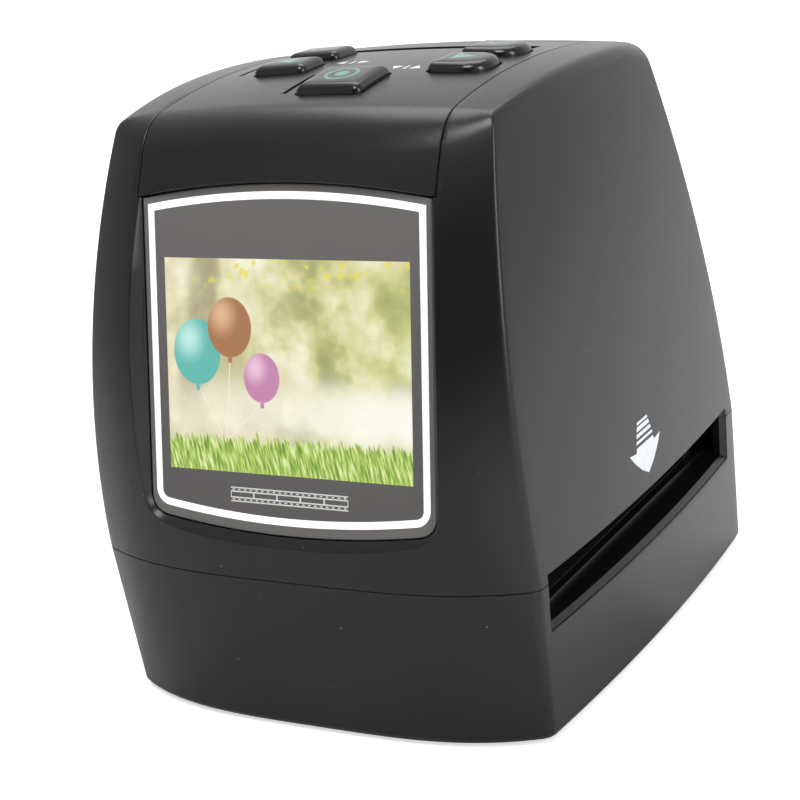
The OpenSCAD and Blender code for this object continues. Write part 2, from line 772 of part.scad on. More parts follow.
stand_r = 2.6;
stand_hole = 6;
window_step = 2;
stand_points = four(guide_half_l - stand_r - 1.3, -window_w / 2 - 8.5, window_w / 2 + 0.5);
module film_guide_upper() {
    color([0.09, 0.09, 0.095])
    difference() {
        union() {
            block([-guide_half_l, guide_front_y, channel_top_z],
                [guide_half_l, guide_rear_y, channel_top_z + guide_t]);
            for (p = stand_points)
                translate([p[0], p[1], channel_top_z])
                    cylinder(h = board_z - channel_top_z, r = stand_r);
        }
        block([-window_l / 2 - window_step, -window_w / 2 - window_step, channel_top_z - 1],
            [window_l / 2 + window_step, window_w / 2 + window_step, channel_top_z + guide_t + 1]);
        for (p = guide_screw_points)
            translate([p[0], p[1], channel_top_z - 1])
                cylinder(h = guide_t + 2, r = pilot_r + fit_gap);
        for (p = stand_points)
            translate([p[0], p[1], board_z - stand_hole]) cylinder(h = stand_hole + 1, r = pilot_r);
        for (p = tower_hooks)
            translate([p[0], p[1], channel_top_z - 1]) cylinder(h = guide_t + 2, r = pilot_r);
    }
}

module guide_screws() {
    color([0.6, 0.6, 0.62])
    for (p = guide_screw_points)
        screw_down(p, channel_top_z + guide_t, 1.6, 1, small_screw_r, guide_t + channel_h - 1);
}

module light_box() {
    color([0.93, 0.93, 0.92])
    difference() {
        block([-box_half_w, -box_half_d, z_floor],
            [box_half_w, box_half_d, slot_floor_z - guide_t - diffuser_t]);
        block([-led_half_w - board_gap, -led_half_d - board_gap, z_floor - 1],
            [led_half_w + board_gap, led_half_d + board_gap, slot_floor_z]);
        // notch for the LED board's cable
        block([led_cable_x[0] - 1.5, -box_half_d - 1, z_floor - 1],
            [led_cable_x[1] + 1.5, -led_half_d, led_board_z + board_t + 2]);
    }
}

module diffuser() {
    color([0.95, 0.95, 0.96])
    block([-box_half_w, -box_half_d, slot_floor_z - guide_t - diffuser_t],
        [box_half_w, box_half_d, slot_floor_z - guide_t]);
}

led_board_z = z_floor + led_pad_h;
led_pitch = 12;
led_size = [3.5, 2.8, 0.9];
module led_board() {
    color([0.9, 0.9, 0.88])
    block([-led_half_w, -led_half_d, led_board_z], [led_half_w, led_half_d, led_board_z + board_t]);
}

module leds() {
    color([0.98, 0.9, 0.55])
    for (i = [-1.5:1:1.5])
        for (j = [-1:1:1])
            translate([i * led_pitch, j * led_pitch, led_board_z + board_t])
                block([-led_size[0] / 2, -led_size[1] / 2, 0], [led_size[0] / 2, led_size[1] / 2, led_size[2]]);
}

// ---- camera ----
tower_wall = 1.6;
tower_cap_t = 2.5;
barrel_r = 6.8;
tower_low = [window_l / 2 + 4, window_w / 2 + 4];
tower_high = [barrel_r + 5.2, barrel_r + 5.2];
tower_foot = [tower_low[0] + 4.6, tower_low[1] + 1.5];
tower_foot_t = 1.8;
tower_hooks = four(tower_low[0] + 2.5, 3 - tower_low[1], tower_low[1] - 3);
// half size of the tower's outside at height z
function tower_at(z) = tower_low + (tower_high - tower_low) * (z - tower_foot_z) / (tower_top_z - tower_foot_z);
module frustum(low, high, z0, z1) {
    skin([
        [[-low[0], -low[1], z0], [low[0], -low[1], z0], [low[0], low[1], z0], [-low[0], low[1], z0]],
        [[-high[0], -high[1], z1], [high[0], -high[1], z1], [high[0], high[1], z1],
            [-high[0], high[1], z1]]]);
}
sensor_post_x = barrel_r + 2.8;
sensor_post_points = [[-sensor_post_x, 0], [sensor_post_x, 0]];
sensor_post_h = 2;
module lens_tower() {
    color([0.12, 0.12, 0.12])
    difference() {
        union() {
            block([-tower_foot[0], -tower_foot[1], tower_foot_z],
                [tower_foot[0], tower_foot[1], tower_foot_z + tower_foot_t]);
            frustum(tower_low, tower_high, tower_foot_z, tower_top_z);
            for (p = sensor_post_points)
                translate([p[0], p[1], tower_top_z - 1])
                    cylinder(h = sensor_post_h + 1, r = post_r);
        }
        frustum([tower_low[0] - tower_wall, tower_low[1] - tower_wall],
            [tower_high[0] - tower_wall, tower_high[1] - tower_wall], tower_foot_z - 0.01,
            tower_top_z - tower_cap_t);
        translate([0, 0, tower_top_z - 2 * tower_cap_t])
            cylinder(h = 3 * tower_cap_t, r = barrel_r + shaft_gap);
        for (p = sensor_post_points)
            translate([p[0], p[1], tower_top_z - 1.6]) cylinder(h = 5, r = pilot_r);
        for (p = tower_hooks)
            translate([p[0], p[1], tower_foot_z - 1])
                cylinder(h = tower_foot_t + 2, r = pilot_r + fit_gap);
    }
}

barrel_l = 11;
barrel_low_z = tower_top_z - barrel_l;
glass_r = 5.8;
glass_seat = 2.4;
module lens_barrel() {
    color([0.08, 0.08, 0.08])
    difference() {
        union() {
            translate([0, 0, barrel_low_z]) cylinder(h = barrel_l + 0.5, r = barrel_r);
            translate([0, 0, tower_top_z]) cylinder(h = 0.6, r = barrel_r + 0.3);
        }
        translate([0, 0, barrel_low_z - 1]) cylinder(h = barrel_l + 3, r = glass_r - 1.2);
        translate([0, 0, barrel_low_z - 1]) cylinder(h = glass_seat + 1, r = glass_r + shaft_gap);
    }
}

module lens_glass() {
    color([0.7, 0.8, 0.9])
    translate([0, 0, barrel_low_z + 0.2]) cylinder(h = glass_seat - 0.2, r = glass_r);
}

sensor_z = tower_top_z + sensor_post_h;
sensor_half_w = sensor_post_x + 3.4;
sensor_half_d = 10;
module sensor_board() {
    color([0.1, 0.35, 0.2])
    difference() {
        block([-sensor_half_w, -sensor_half_d, sensor_z], [sensor_half_w, sensor_half_d, sensor_z + board_t]);
        for (p = sensor_post_points)
            translate([p[0], p[1], sensor_z - 1]) cylinder(h = board_t + 2, r = pilot_r + fit_gap);
    }
}

module sensor_chip() {
    color([0.2, 0.22, 0.3])
    block([-4.5, -4.5, sensor_z - 1], [4.5, 4.5, sensor_z]);
}

module sensor_screws() {
    color([0.6, 0.6, 0.62])
    for (p = sensor_post_points)
        screw_down(p, sensor_z + board_t, 1.6, 1, small_screw_r, board_t + 3);
}

// ---- main board ----
board_front_y = stand_points[0][1] - 2.5;
board_hole = tower_at(board_z) + [1.3, 1.2];
module main_board() {
    color([0.1, 0.35, 0.2])
    difference() {
        block([-board_half_w, board_front_y, board_z], [board_half_w, board_rear_y, board_z + board_t]);
        block([-board_hole[0], -board_hole[1], board_z - 1],
            [board_hole[0], board_hole[1], board_z + board_t + 1]);
        for (p = stand_points)
            translate([p[0], p[1], board_z - 1]) cylinder(h = board_t + 2, r = pilot_r + fit_gap);
    }
}

module board_screws() {
    color([0.6, 0.6, 0.62])
    for (p = stand_points)
        screw_down(p, socket_z, 1.8, 1.1, small_screw_r, board_t + stand_hole - 1);
}

module tower_screws() {
    color([0.6, 0.6, 0.62])
    for (p = tower_hooks)
        screw_down(p, tower_foot_z + tower_foot_t, 1.6, 1, small_screw_r, tower_foot_t + guide_t - 0.2);
}

module board_chips() {
    color([0.1, 0.1, 0.11]) {
        translate([board_half_w - 1, -8, socket_z]) block([-11, 0, 0], [0, 11, 1.2]);
        translate([2 - board_half_w, -10, socket_z]) block([0, 0, 0], [8, 12, 1.2]);
        translate([board_half_w - 5.5, 6, socket_z]) block([-7, 0, 0], [0, 5.5, 1]);
    }
}

socket_rear_y = board_rear_y + 0.9;
sd_depth = 21;
card_w = 24.4;
module sd_socket() {
    color([0.72, 0.73, 0.75])
    difference() {
        block([sd_at[0] - sd_at[1] / 2, socket_rear_y - sd_depth, socket_z],
            [sd_at[0] + sd_at[1] / 2, socket_rear_y, socket_z + sd_at[2]]);
        block([sd_at[0] - card_w / 2, socket_rear_y - sd_depth + 2, socket_z + 0.5],
            [sd_at[0] + card_w / 2, socket_rear_y + 1, socket_z + sd_at[2] - 0.3]);
    }
}

module usb_socket() {
    color([0.75, 0.76, 0.78])
    difference() {
        block([usb_at[0] - usb_at[1] / 2, socket_rear_y - 9, socket_z],
            [usb_at[0] + usb_at[1] / 2, socket_rear_y, socket_z + usb_at[2]]);
        difference() {
            block([usb_at[0] - 3.5, socket_rear_y - 7, socket_z + 0.5],
                [usb_at[0] + 3.5, socket_rear_y + 1, socket_z + 3.7]);
            block([usb_at[0] - 2.6, socket_rear_y - 8, socket_z + 1.7],
                [usb_at[0] + 2.6, socket_rear_y - 1, socket_z + 2.5]);
        }
    }
}

module av_socket() {
    color([0.12, 0.12, 0.12])
    difference() {
        union() {
            block([av_at[0] - av_at[1] / 2, socket_rear_y - 12, socket_z],
                [av_at[0] + av_at[1] / 2, socket_rear_y, socket_z + av_at[2]]);
        }
        translate([av_at[0], socket_rear_y - 11, socket_z + av_at[2] / 2]) rotate([-90, 0, 0])
            cylinder(h = 12, r = 1.8);
    }
}

// ---- cables ----
ribbon_t = 0.3;
function unit(v) = v / norm(v);
function left_of(v) = [-v[1], v[0]];
function leg(points, i) = unit(points[i] - points[i - 1]);
// the other edge of a ribbon of thickness t: each corner moves out square to both of its legs
function ribbon_edge(points, t) = [for (i = [0:len(points) - 1])
    let (a = leg(points, max(i, 1)), b = leg(points, min(i + 1, len(points) - 1)))
    points[i] + (left_of(a) + left_of(b)) / (1 + a * b) * t];
// a ribbon whose side view follows points, from x0 to x1
module ribbon(points, x0, x1, t) {
    far = ribbon_edge(points, t);
    rotate([90, 0, 90]) translate([0, 0, x0]) linear_extrude(x1 - x0)
        polygon(concat(points, [for (i = [len(far) - 1:-1:0]) far[i]]));
}

lcd_plug_y = board_front_y + 1.5;
led_plug_y = board_front_y + 1.5;
sensor_plug_y = board_hole[1] + 4;
button_plug_y = board_hole[1] + 6;
plug_h = 1.4;
plug_d = 3;
under_plug_z = board_z - plug_h / 2;
over_plug_z = socket_z + plug_h / 2;
lcd_cable_x = [-21, -7];
sensor_cable_x = [-3.5, 3.5];
button_cable_x = [19.5, 26.5];
led_cable_x = [6.5, 9.5];
module plug(x, y, z) {
    block([x[0] - 0.5, y, z], [x[1] + 0.5, y + plug_d, z + plug_h]);
}

module cable_sockets() {
    color([0.85, 0.83, 0.76]) {
        plug(lcd_cable_x, lcd_plug_y, board_z - plug_h);
        plug(led_cable_x, led_plug_y, board_z - plug_h);
        plug(sensor_cable_x, sensor_plug_y - plug_d, socket_z);
        plug(button_cable_x, button_plug_y - plug_d, socket_z);
    }
}

// a point of the panel's side view: v up the panel, w behind its face
function lens_side(v, w) = [-lens_y + v * sin(lens_tilt) + w * cos(lens_tilt),
    lens_z + v * cos(lens_tilt) - w * sin(lens_tilt)];
lcd_low = -lcd_h / 2 - lcd_drop;
module lcd_cable() {
    tail = lens_side(lcd_low, carrier_back + lcd_t);
    color([0.75, 0.5, 0.2])
    ribbon([lens_side(lcd_low + 2, carrier_back + lcd_t), tail, tail + [1.5, -1.8], tail + [5, -2.2],
        tail + [9.5, 0.2], [lcd_plug_y - 3, under_plug_z - 1.1], [lcd_plug_y - 1, under_plug_z],
        [lcd_plug_y - seat_gap, under_plug_z]], lcd_cable_x[0], lcd_cable_x[1], ribbon_t);
}

module sensor_cable() {
    top = sensor_z + board_t;
    color([0.75, 0.5, 0.2])
    ribbon([[sensor_half_d - 3, top], [sensor_half_d, top], [sensor_half_d + 3, top - 0.2],
        [sensor_plug_y - 1.5, sensor_z - 3], [sensor_plug_y + 2.5, socket_z + 10],
        [sensor_plug_y + 3, socket_z + 3], [sensor_plug_y + 2, over_plug_z + 0.7],
        [sensor_plug_y + 1, over_plug_z + 0.2], [sensor_plug_y + seat_gap, over_plug_z + 0.2]], sensor_cable_x[0], sensor_cable_x[1], ribbon_t);
}

module button_cable() {
    rear = ok_at[1] + 7;
    color([0.75, 0.5, 0.2])
    ribbon([[rear - 5, button_board_z], [rear, button_board_z], [rear + 3, button_board_z - 0.8],
        [rear + 8.5, button_board_z - 8], [button_plug_y + 5.5, board_z + 26],
        [button_plug_y + 4.5, board_z + 11], [button_plug_y + 3.5, socket_z + 4],
        [button_plug_y + 2.2, over_plug_z + 0.7], [button_plug_y + 1, over_plug_z - 0.2],
        [button_plug_y + seat_gap, over_plug_z - 0.2]], button_cable_x[0], button_cable_x[1], -ribbon_t);
}

led_cable_t = 0.9;
module led_cable() {
    top = led_board_z + board_t;
    down_y = guide_front_y - 2;
    color([0.75, 0.15, 0.12])
    ribbon([[-led_half_d + 4, top], [-led_half_d - 3, top], [down_y + 4, top + 1], [down_y, top + 6],
        [down_y, tower_foot_z], [down_y + 2.2, tower_foot_z + 4], [led_plug_y - 5, board_z - 6],
        [led_plug_y - 2.5, under_plug_z - 1.6], [led_plug_y - 1, under_plug_z - 0.4],
        [led_plug_y - seat_gap, under_plug_z - 0.4]],
        led_cable_x[0], led_cable_x[1], -led_cable_t);
}

lower_housing();
upper_housing();
top_cover();
lcd_window();
lcd_module();
lcd_bracket();
button(power_at);  // power_button
button(left_at);  // left_button
button(scan_at);  // scan_button
button(right_at);  // right_button
button(ok_at);  // ok_button
plunger(power_at);  // power_plunger
plunger(left_at);  // left_plunger
plunger(scan_at);  // scan_plunger
plunger(right_at);  // right_plunger
plunger(ok_at);  // ok_plunger
switch_bodies();
button_board();
film_guide_lower();
film_guide_upper();
light_box();
led_board();
leds();
diffuser();
lens_tower();
lens_barrel();
lens_glass();
sensor_board();
sensor_chip();
main_board();
board_chips();
sd_socket();
usb_socket();
av_socket();
cable_sockets();
lcd_cable();
sensor_cable();
button_cable();
led_cable();
rubber_feet();
case_screws();
guide_screws();
board_screws();
tower_screws();
sensor_screws();
bracket_screws();
button_board_screws();
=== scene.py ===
import math

import bpy
from mathutils import Matrix, Vector
from mathutils.bvhtree import BVHTree


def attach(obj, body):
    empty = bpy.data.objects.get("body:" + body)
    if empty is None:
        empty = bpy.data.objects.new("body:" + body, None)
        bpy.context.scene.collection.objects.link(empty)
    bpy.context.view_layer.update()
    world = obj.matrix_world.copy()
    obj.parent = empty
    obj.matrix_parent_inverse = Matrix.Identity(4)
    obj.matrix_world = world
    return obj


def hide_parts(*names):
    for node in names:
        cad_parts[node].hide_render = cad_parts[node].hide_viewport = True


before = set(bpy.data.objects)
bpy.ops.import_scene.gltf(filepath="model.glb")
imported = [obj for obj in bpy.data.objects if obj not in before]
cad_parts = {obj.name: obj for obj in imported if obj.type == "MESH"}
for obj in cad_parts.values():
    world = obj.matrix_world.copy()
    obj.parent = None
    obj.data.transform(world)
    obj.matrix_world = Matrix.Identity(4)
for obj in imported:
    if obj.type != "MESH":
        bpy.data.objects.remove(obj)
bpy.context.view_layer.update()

# ---- base shell ----
# The lower half of the case, injection moulded in black ABS with a satin surface.
# It stands on four rubber feet and carries the film channel on two inner shelves,
# and four long screws from below pull it against the upper half.
MM = 0.001
SEAM, SHOULDER, BASE_HEIGHT, WALL = 27.2, 96.0, 26.6, 2.2
# the front's arc in side view: its radius, and the height and the place of its foremost point at a corner
FRONT_RADIUS, FRONT_MIDDLE, FRONT_CORNER = 139, 36, -39.7
# in plan: how far a side bows and how much wider it is at the rear, and the bow of the rear
SIDE_BOW, SIDE_GROWTH, REAR_BOW = 1.83, 0.45, 1
# how far the corners are rounded: in front, what that loses up to the shoulder, and at the rear
CREASE, CREASE_LOST, REAR_CREASE = 1.2, 0.75, 1.6
# steps of half an outline, from the middle of the front to the middle of the rear
FRONT_STEPS, CORNER_STEPS, SIDE_STEPS, REAR_STEPS = 27, 8, 34, 14
SIDE_FIRST = FRONT_STEPS + CORNER_STEPS + 1
REAR_CORNER_FIRST = SIDE_FIRST + SIDE_STEPS
HALF_COUNT = REAR_CORNER_FIRST + CORNER_STEPS + 1 + REAR_STEPS


def sag(radius, run):
    # how far an arc has fallen back at a run from its middle
    return radius - math.sqrt(radius**2 - run * run)


def climb(z):
    return (z - SEAM) / (SHOULDER - SEAM)


def drafted(z, seam, gained, lost, curve):
    # a measure of the outline, from its size at the seam: what it gains down to the bottom edge
    # and loses up to the shoulder, more and more steeply
    if z < SEAM:
        return seam + gained * (SEAM - z) / BASE_HEIGHT
    share = climb(z)
    return seam - lost * (share * (1 - curve) + share * share * curve)


def half_width(z):
    return drafted(z, seam=41.5, gained=-1.35, lost=5.7, curve=0.69)


def front_corner(z):
    arc = sag(FRONT_RADIUS, max(z, SEAM) - FRONT_MIDDLE)
    return FRONT_CORNER + arc + 1.3 * max(0, SEAM - z) / BASE_HEIGHT


def front_bow(z):
    return drafted(z, seam=6.38, gained=0.8, lost=2.7, curve=0.48)


def rear_corner(z):
    return drafted(z, seam=44, gained=1.5, lost=11.2, curve=0.6)


def crease_radius(z):
    return CREASE if z < SEAM else CREASE - CREASE_LOST * climb(z)


def front_at(z, d, f):
    return ((half_width(z) - d) * f, front_corner(z) + d - front_bow(z) * (1 - abs(f) ** 3.5))


def side_at(z, d, s):
    x = half_width(z) - d + SIDE_GROWTH * s + SIDE_BOW * 4 * s * (1 - s)
    return (x, (front_corner(z) + d) * (1 - s) + (rear_corner(z) - d) * s)


def rear_at(z, d, g):
    return ((half_width(z) - d + SIDE_GROWTH) * g, rear_corner(z) - d + REAR_BOW * (1 - g * g))


def turn(a, corner, b, t):
    # a rounded corner between a and b
    return tuple(p * (1 - t) ** 2 + 2 * q * t * (1 - t) + r * t * t for p, q, r in zip(a, corner, b))


def outline_point(i, z, d):
    # point i of the outline at height z, drawn in by d, from the middle of the front to that of the back
    r = crease_radius(z)
    length = rear_corner(z) - front_corner(z)
    first_f, first_s = 1 - r / half_width(z), r / length
    last_s, first_g = 1 - REAR_CREASE / length, 1 - REAR_CREASE / half_width(z)
    if i < FRONT_STEPS:
        return front_at(z, d, first_f * i / FRONT_STEPS)
    if i < SIDE_FIRST:
        t = (i - FRONT_STEPS) / CORNER_STEPS
        return turn(front_at(z, d, first_f), front_at(z, d, 1), side_at(z, d, first_s), t)
    if i < REAR_CORNER_FIRST:
        t = (i - SIDE_FIRST + 1) / (SIDE_STEPS + 1)
        return side_at(z, d, first_s + (last_s - first_s) * t)
    if i <= REAR_CORNER_FIRST + CORNER_STEPS:
        t = (i - REAR_CORNER_FIRST) / CORNER_STEPS
        return turn(side_at(z, d, last_s), side_at(z, d, 1), rear_at(z, d, first_g), t)
    return rear_at(z, d, first_g * (HALF_COUNT - 1 - i) / REAR_STEPS)


def whole(half):
    # half of an outline and its mirror image
    return half + [(-p[0], *p[1:]) for p in half[-2:0:-1]]


def level_ring(z, d):
    return whole([(*outline_point(i, z, d), z) for i in range(HALF_COUNT)])


def loft(name, rings):
    # a grid bent through the rings, closed around and filled at both ends
    bpy.ops.object.select_all(action="DESELECT")
    bpy.ops.mesh.primitive_grid_add(
        x_subdivisions=len(rings[0]), y_subdivisions=len(rings) - 1, calc_uvs=False
    )
    piece = bpy.context.object
    piece.name = piece.data.name = name
    places = [c * MM for ring in rings for p in [*ring, ring[0]] for c in p]
    piece.data.vertices.foreach_set("co", places)
    piece.data.update()
    bpy.ops.object.mode_set(mode="EDIT")
    bpy.ops.mesh.select_all(action="SELECT")
    bpy.ops.mesh.remove_doubles(threshold=1e-7)
    bpy.ops.mesh.fill_holes(sides=0)
    bpy.ops.mesh.normals_make_consistent(inside=False)
    bpy.ops.object.mode_set(mode="OBJECT")
    return piece


def combine(piece, tool, how="DIFFERENCE"):
    step = piece.modifiers.new("combine", "BOOLEAN")
    step.operation, step.solver, step.object = how, "MANIFOLD", tool
    bpy.context.view_layer.objects.active = piece
    bpy.ops.object.modifier_apply(modifier=step.name)
    bpy.data.objects.remove(tool)


def rod(x, y, low, high, radius, sides=40):
    # a round bar or drill between two heights
    rings = []
    for z in (low, high):
        angles = [2 * math.pi * k / sides for k in range(sides)]
        rings.append([(x + radius * math.cos(a), y + radius * math.sin(a), z) for a in angles])
    return loft("rod", rings)


# the eased edge of an opening: how far it grows outwards at each height from the surface
EASED = 0.16
EASE = ((0, -EASED), (0.05, -0.05), (EASED, 0), (1, 0.3))
SLOT = dict(front=-36.5, rear=37.8, floor=20.4, top=28.7)
# where cutters end, well clear of the case: sideways or behind it, and over it
OUTSIDE, ABOVE = 60, 130
# the step in the slot's floor, the flare of its mouth, and the line that frames the flare
STEP, FLARE, FLARE_DEPTH, LINE, LINE_END = 0.5, 0.75, 1.1, 0.2, 0.4


def side_surface(y, z):
    # half the distance between the side walls at a place on them
    s = (y - front_corner(z)) / (rear_corner(z) - front_corner(z))
    return half_width(z) + SIDE_GROWTH * s + SIDE_BOW * 4 * s * (1 - s)


def slot_loop(plain, flared, drop=STEP):
    # the slot's outline in a side wall; its floor and rear end can flare further than the rest
    y0, y1 = SLOT["front"] - plain, SLOT["rear"] + flared
    z0, z1 = SLOT["floor"] - drop - flared, SLOT["top"] + plain
    along, upward = 56, 10
    loop = [(y0 + (y1 - y0) * k / along, z0) for k in range(along)]
    loop += [(y1, z0 + (z1 - z0) * k / upward) for k in range(upward)]
    loop += [(y1 - (y1 - y0) * k / along, z1) for k in range(along)]
    return loop + [(y0, z1 - (z1 - z0) * k / upward) for k in range(upward)]


def slot_cutter(side):
    # a step in the floor, the flare, and a fine line that frames the flare
    steps = ((30, 0), (37.2, 0), (37.3, 0.1), (37.34, STEP))
    rings = [[(side * x, y, z) for y, z in slot_loop(0, 0, drop)] for x, drop in steps]
    rings.append([(side * (side_surface(y, z) - FLARE_DEPTH), y, z) for y, z in slot_loop(0, 0)])
    rings.append([(side * (side_surface(y, z) - EASED), y, z) for y, z in slot_loop(0, FLARE)])
    for grown, height in EASE:
        loop = slot_loop(grown, FLARE + LINE + grown)
        rings.append([(side * (side_surface(y, z) + height), y, z) for y, z in loop])
    rings.append([(side * OUTSIDE, p[1], p[2]) for p in rings[-1]])
    return loft("slot_cutter", rings)


def line_cutter(side):
    # the fine line along the flare's floor and rear end
    y0, z0 = SLOT["front"] + LINE_END, SLOT["floor"] - STEP - FLARE
    y1, z1 = SLOT["rear"] + FLARE, SLOT["top"] - LINE_END
    path = [(y0 + (y1 - y0) * k / 56, z0, 0, -1) for k in range(56)] + [(y1, z0, 1, -1)]
    path += [(y1, z0 + (z1 - z0) * k / 8, 1, 0) for k in range(1, 9)]
    near, far, deep, proud = 0.01, LINE - 0.01, -0.9, 0.3
    rings = []
    for y, z, away_y, away_z in path:
        ring = []
        for t, height in ((near, deep), (far, deep), (far, proud), (near, proud)):
            at_y, at_z = y + away_y * t, z + away_z * t
            ring.append((side * (side_surface(at_y, at_z) + height), at_y, at_z))
        rings.append(ring)
    return loft("line_cutter", rings)


CASE_SCREWS = [(x, y) for x in (-22, 22) for y in (-40.2, 40.6)]
FEET = [(x, y) for x in (-30, 30) for y in (-28.2, 32.5)]

SHELF_INNER, SHELF_LOW, SHELF_MIDDLE = 35.8, 18.4, 19.4
# the two halves of the case end just below and above the seam, and both have an eased edge there:
# how far it is drawn in at each distance from the end
BASE_TOP, SHELL_BOTTOM = SEAM - 0.05, SEAM + 0.02
SEAM_EDGE = ((0, 0.09), (0.03, 0.03), (0.09, 0))

# each ring's height and how far it is drawn in: bottom edge, wall, edge at the seam and inside
levels = [(0.6, 0.9), (0.72, 0.5), (1.0, 0.2), (1.5, 0)]
levels += [(1.5 + 25.3 * k / 14, 0) for k in range(1, 15)]
levels += [(BASE_TOP - away, d) for away, d in SEAM_EDGE[::-1]]
levels += [(z, WALL) for z in (BASE_TOP, 20, 11, 3.6)] + [(2.8, 3)]
base_shell = loft("base_shell", [level_ring(z, d) for z, d in levels])
for side in (-1, 1):
    shelf = []
    for k in range(21):
        y = SLOT["front"] - 1 + (SLOT["rear"] - SLOT["front"] + 2) * k / 20
        outer = side_surface(y, SHELF_MIDDLE) - 1
        low = [(side * x, y, SHELF_LOW) for x in (SHELF_INNER, outer)]
        shelf.append(low + [(side * x, y, SLOT["floor"]) for x in (outer, SHELF_INNER)])
    combine(base_shell, loft("shelf", shelf), "UNION")
for x, y in CASE_SCREWS:
    combine(base_shell, rod(x, y, low=1.8, high=27.1, radius=3.5), "UNION")
for side in (-1, 1):
    combine(base_shell, slot_cutter(side))
    combine(base_shell, line_cutter(side))
for x, y in CASE_SCREWS:
    combine(base_shell, rod(x, y, low=-1, high=18.8, radius=2.25))
    combine(base_shell, rod(x, y, low=18, high=30, radius=1.25, sides=24))
for x, y in FEET:
    combine(base_shell, rod(x, y, low=-1, high=1.6, radius=4.15, sides=48))


def finish_shape(piece, body, slot, *nodes, smooth=21):
    # smooths all but the sharp edges, hangs the piece on its body and hides the solids it stands in for; the
    # slot is not used
    bpy.ops.object.select_all(action="DESELECT")
    piece.select_set(True)
    bpy.context.view_layer.objects.active = piece
    bpy.ops.object.shade_smooth_by_angle(angle=math.radians(smooth))
    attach(piece, body)
    if nodes:
        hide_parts(*nodes)


def tint(code):
    # a colour written as on a swatch card, in Blender's linear values
    parts = [int(code[k:k + 2], 16) / 255 for k in (1, 3, 5)]
    linear = [c / 12.92 if c <= 0.04045 else ((c + 0.055) / 1.055) ** 2.4 for c in parts]
    return (*linear, 1)


class Value:
    # wraps a shader socket, so that sums and products are written as such
    def __init__(self, tree, socket):
        self.tree, self.socket = tree, socket

    def node(self, kind, settings, sockets, output=0):
        made = self.tree.nodes.new(kind)
        for key, setting in settings.items():
            if key == "stops":
                ramp = made.color_ramp
                while len(ramp.elements) < len(setting):
                    ramp.elements.new(1)
                for stop, (place, colour) in zip(ramp.elements, setting):
                    stop.position, stop.color = place, colour
            else:
                setattr(made, key, setting)
        for key, value in sockets.items():
            if isinstance(value, Value):
                self.tree.links.new(value.socket, made.inputs[key])
            elif value is not None:
                made.inputs[key].default_value = value
        return Value(self.tree, made.outputs[output])

    def math(self, operation, *others):
        sockets = {k: v for k, v in enumerate((self, *others))}
        return self.node("ShaderNodeMath", {"operation": operation}, sockets)

    def flipped(self, operation, other):
        return self.node("ShaderNodeMath", {"operation": operation}, {0: other, 1: self})

    def __add__(self, other):
        return self.math("ADD", other)

    def __sub__(self, other):
        return self.math("SUBTRACT", other)

    def __rsub__(self, other):
        return self.flipped("SUBTRACT", other)

    def __mul__(self, other):
        return self.math("MULTIPLY", other)

    def __truediv__(self, other):
        return self.math("DIVIDE", other)

    def __abs__(self):
        return self.math("ABSOLUTE")

    __radd__, __rmul__ = __add__, __mul__

    def least(self, other):
        return self.math("MINIMUM", other)

    def most(self, other):
        return self.math("MAXIMUM", other)

    def root(self):
        return self.math("SQRT")

    def over(self, edge, blur):
        # 0 below the edge and 1 above it, with a soft step as wide as blur
        settings = {"interpolation_type": "SMOOTHSTEP", "clamp": True}
        sockets = {0: self, 1: edge - blur / 2, 2: edge + blur / 2, 3: 0.0, 4: 1.0}
        return self.node("ShaderNodeMapRange", settings, sockets)

    def under(self, edge, blur):
        return 1 - self.over(edge, blur)

    def mix(self, a, b):
        # colour a where the value is 0, colour b where it is 1
        return self.node("ShaderNodeMix", {"data_type": "RGBA"}, {0: self, 6: a, 7: b}, 2)

    def ramp(self, *stops):
        return self.node("ShaderNodeValToRGB", {"stops": stops}, {0: self})


class Finish(Value):
    # a material with one principled shader; places on a piece are read in metres
    def __init__(self, name, **constant):
        self.material = bpy.data.materials.new(name)
        self.material.use_nodes = True
        self.tree = self.material.node_tree
        self.shader = self.tree.nodes["Principled BSDF"]
        for key, value in constant.items():
            self.shader.inputs[key.replace("_", " ")].default_value = value
        self.place = self.node("ShaderNodeTexCoord", {}, {}, 3)

    def axes(self):
        parts = self.tree.nodes.new("ShaderNodeSeparateXYZ")
        self.tree.links.new(self.place.socket, parts.inputs[0])
        return [Value(self.tree, s) for s in parts.outputs]

    def joined(self, x, y, z):
        return self.node("ShaderNodeCombineXYZ", {}, {0: x, 1: y, 2: z})

    def noise(self, scale, detail=2.0, at=None, rough=0.5):
        sockets = {"Vector": at or self.place, "Scale": scale, "Detail": detail, "Roughness": rough}
        return self.node("ShaderNodeTexNoise", {}, sockets)

    def feed(self, socket, value):
        self.tree.links.new(value.socket, self.shader.inputs[socket])

    def bump(self, height, strength, distance):
        sockets = {"Height": height, "Strength": strength, "Distance": distance}
        self.feed("Normal", self.node("ShaderNodeBump", {}, sockets))

    def on(self, *objects):
        for o in objects:
            o.data.materials.clear()
            o.data.materials.append(self.material)


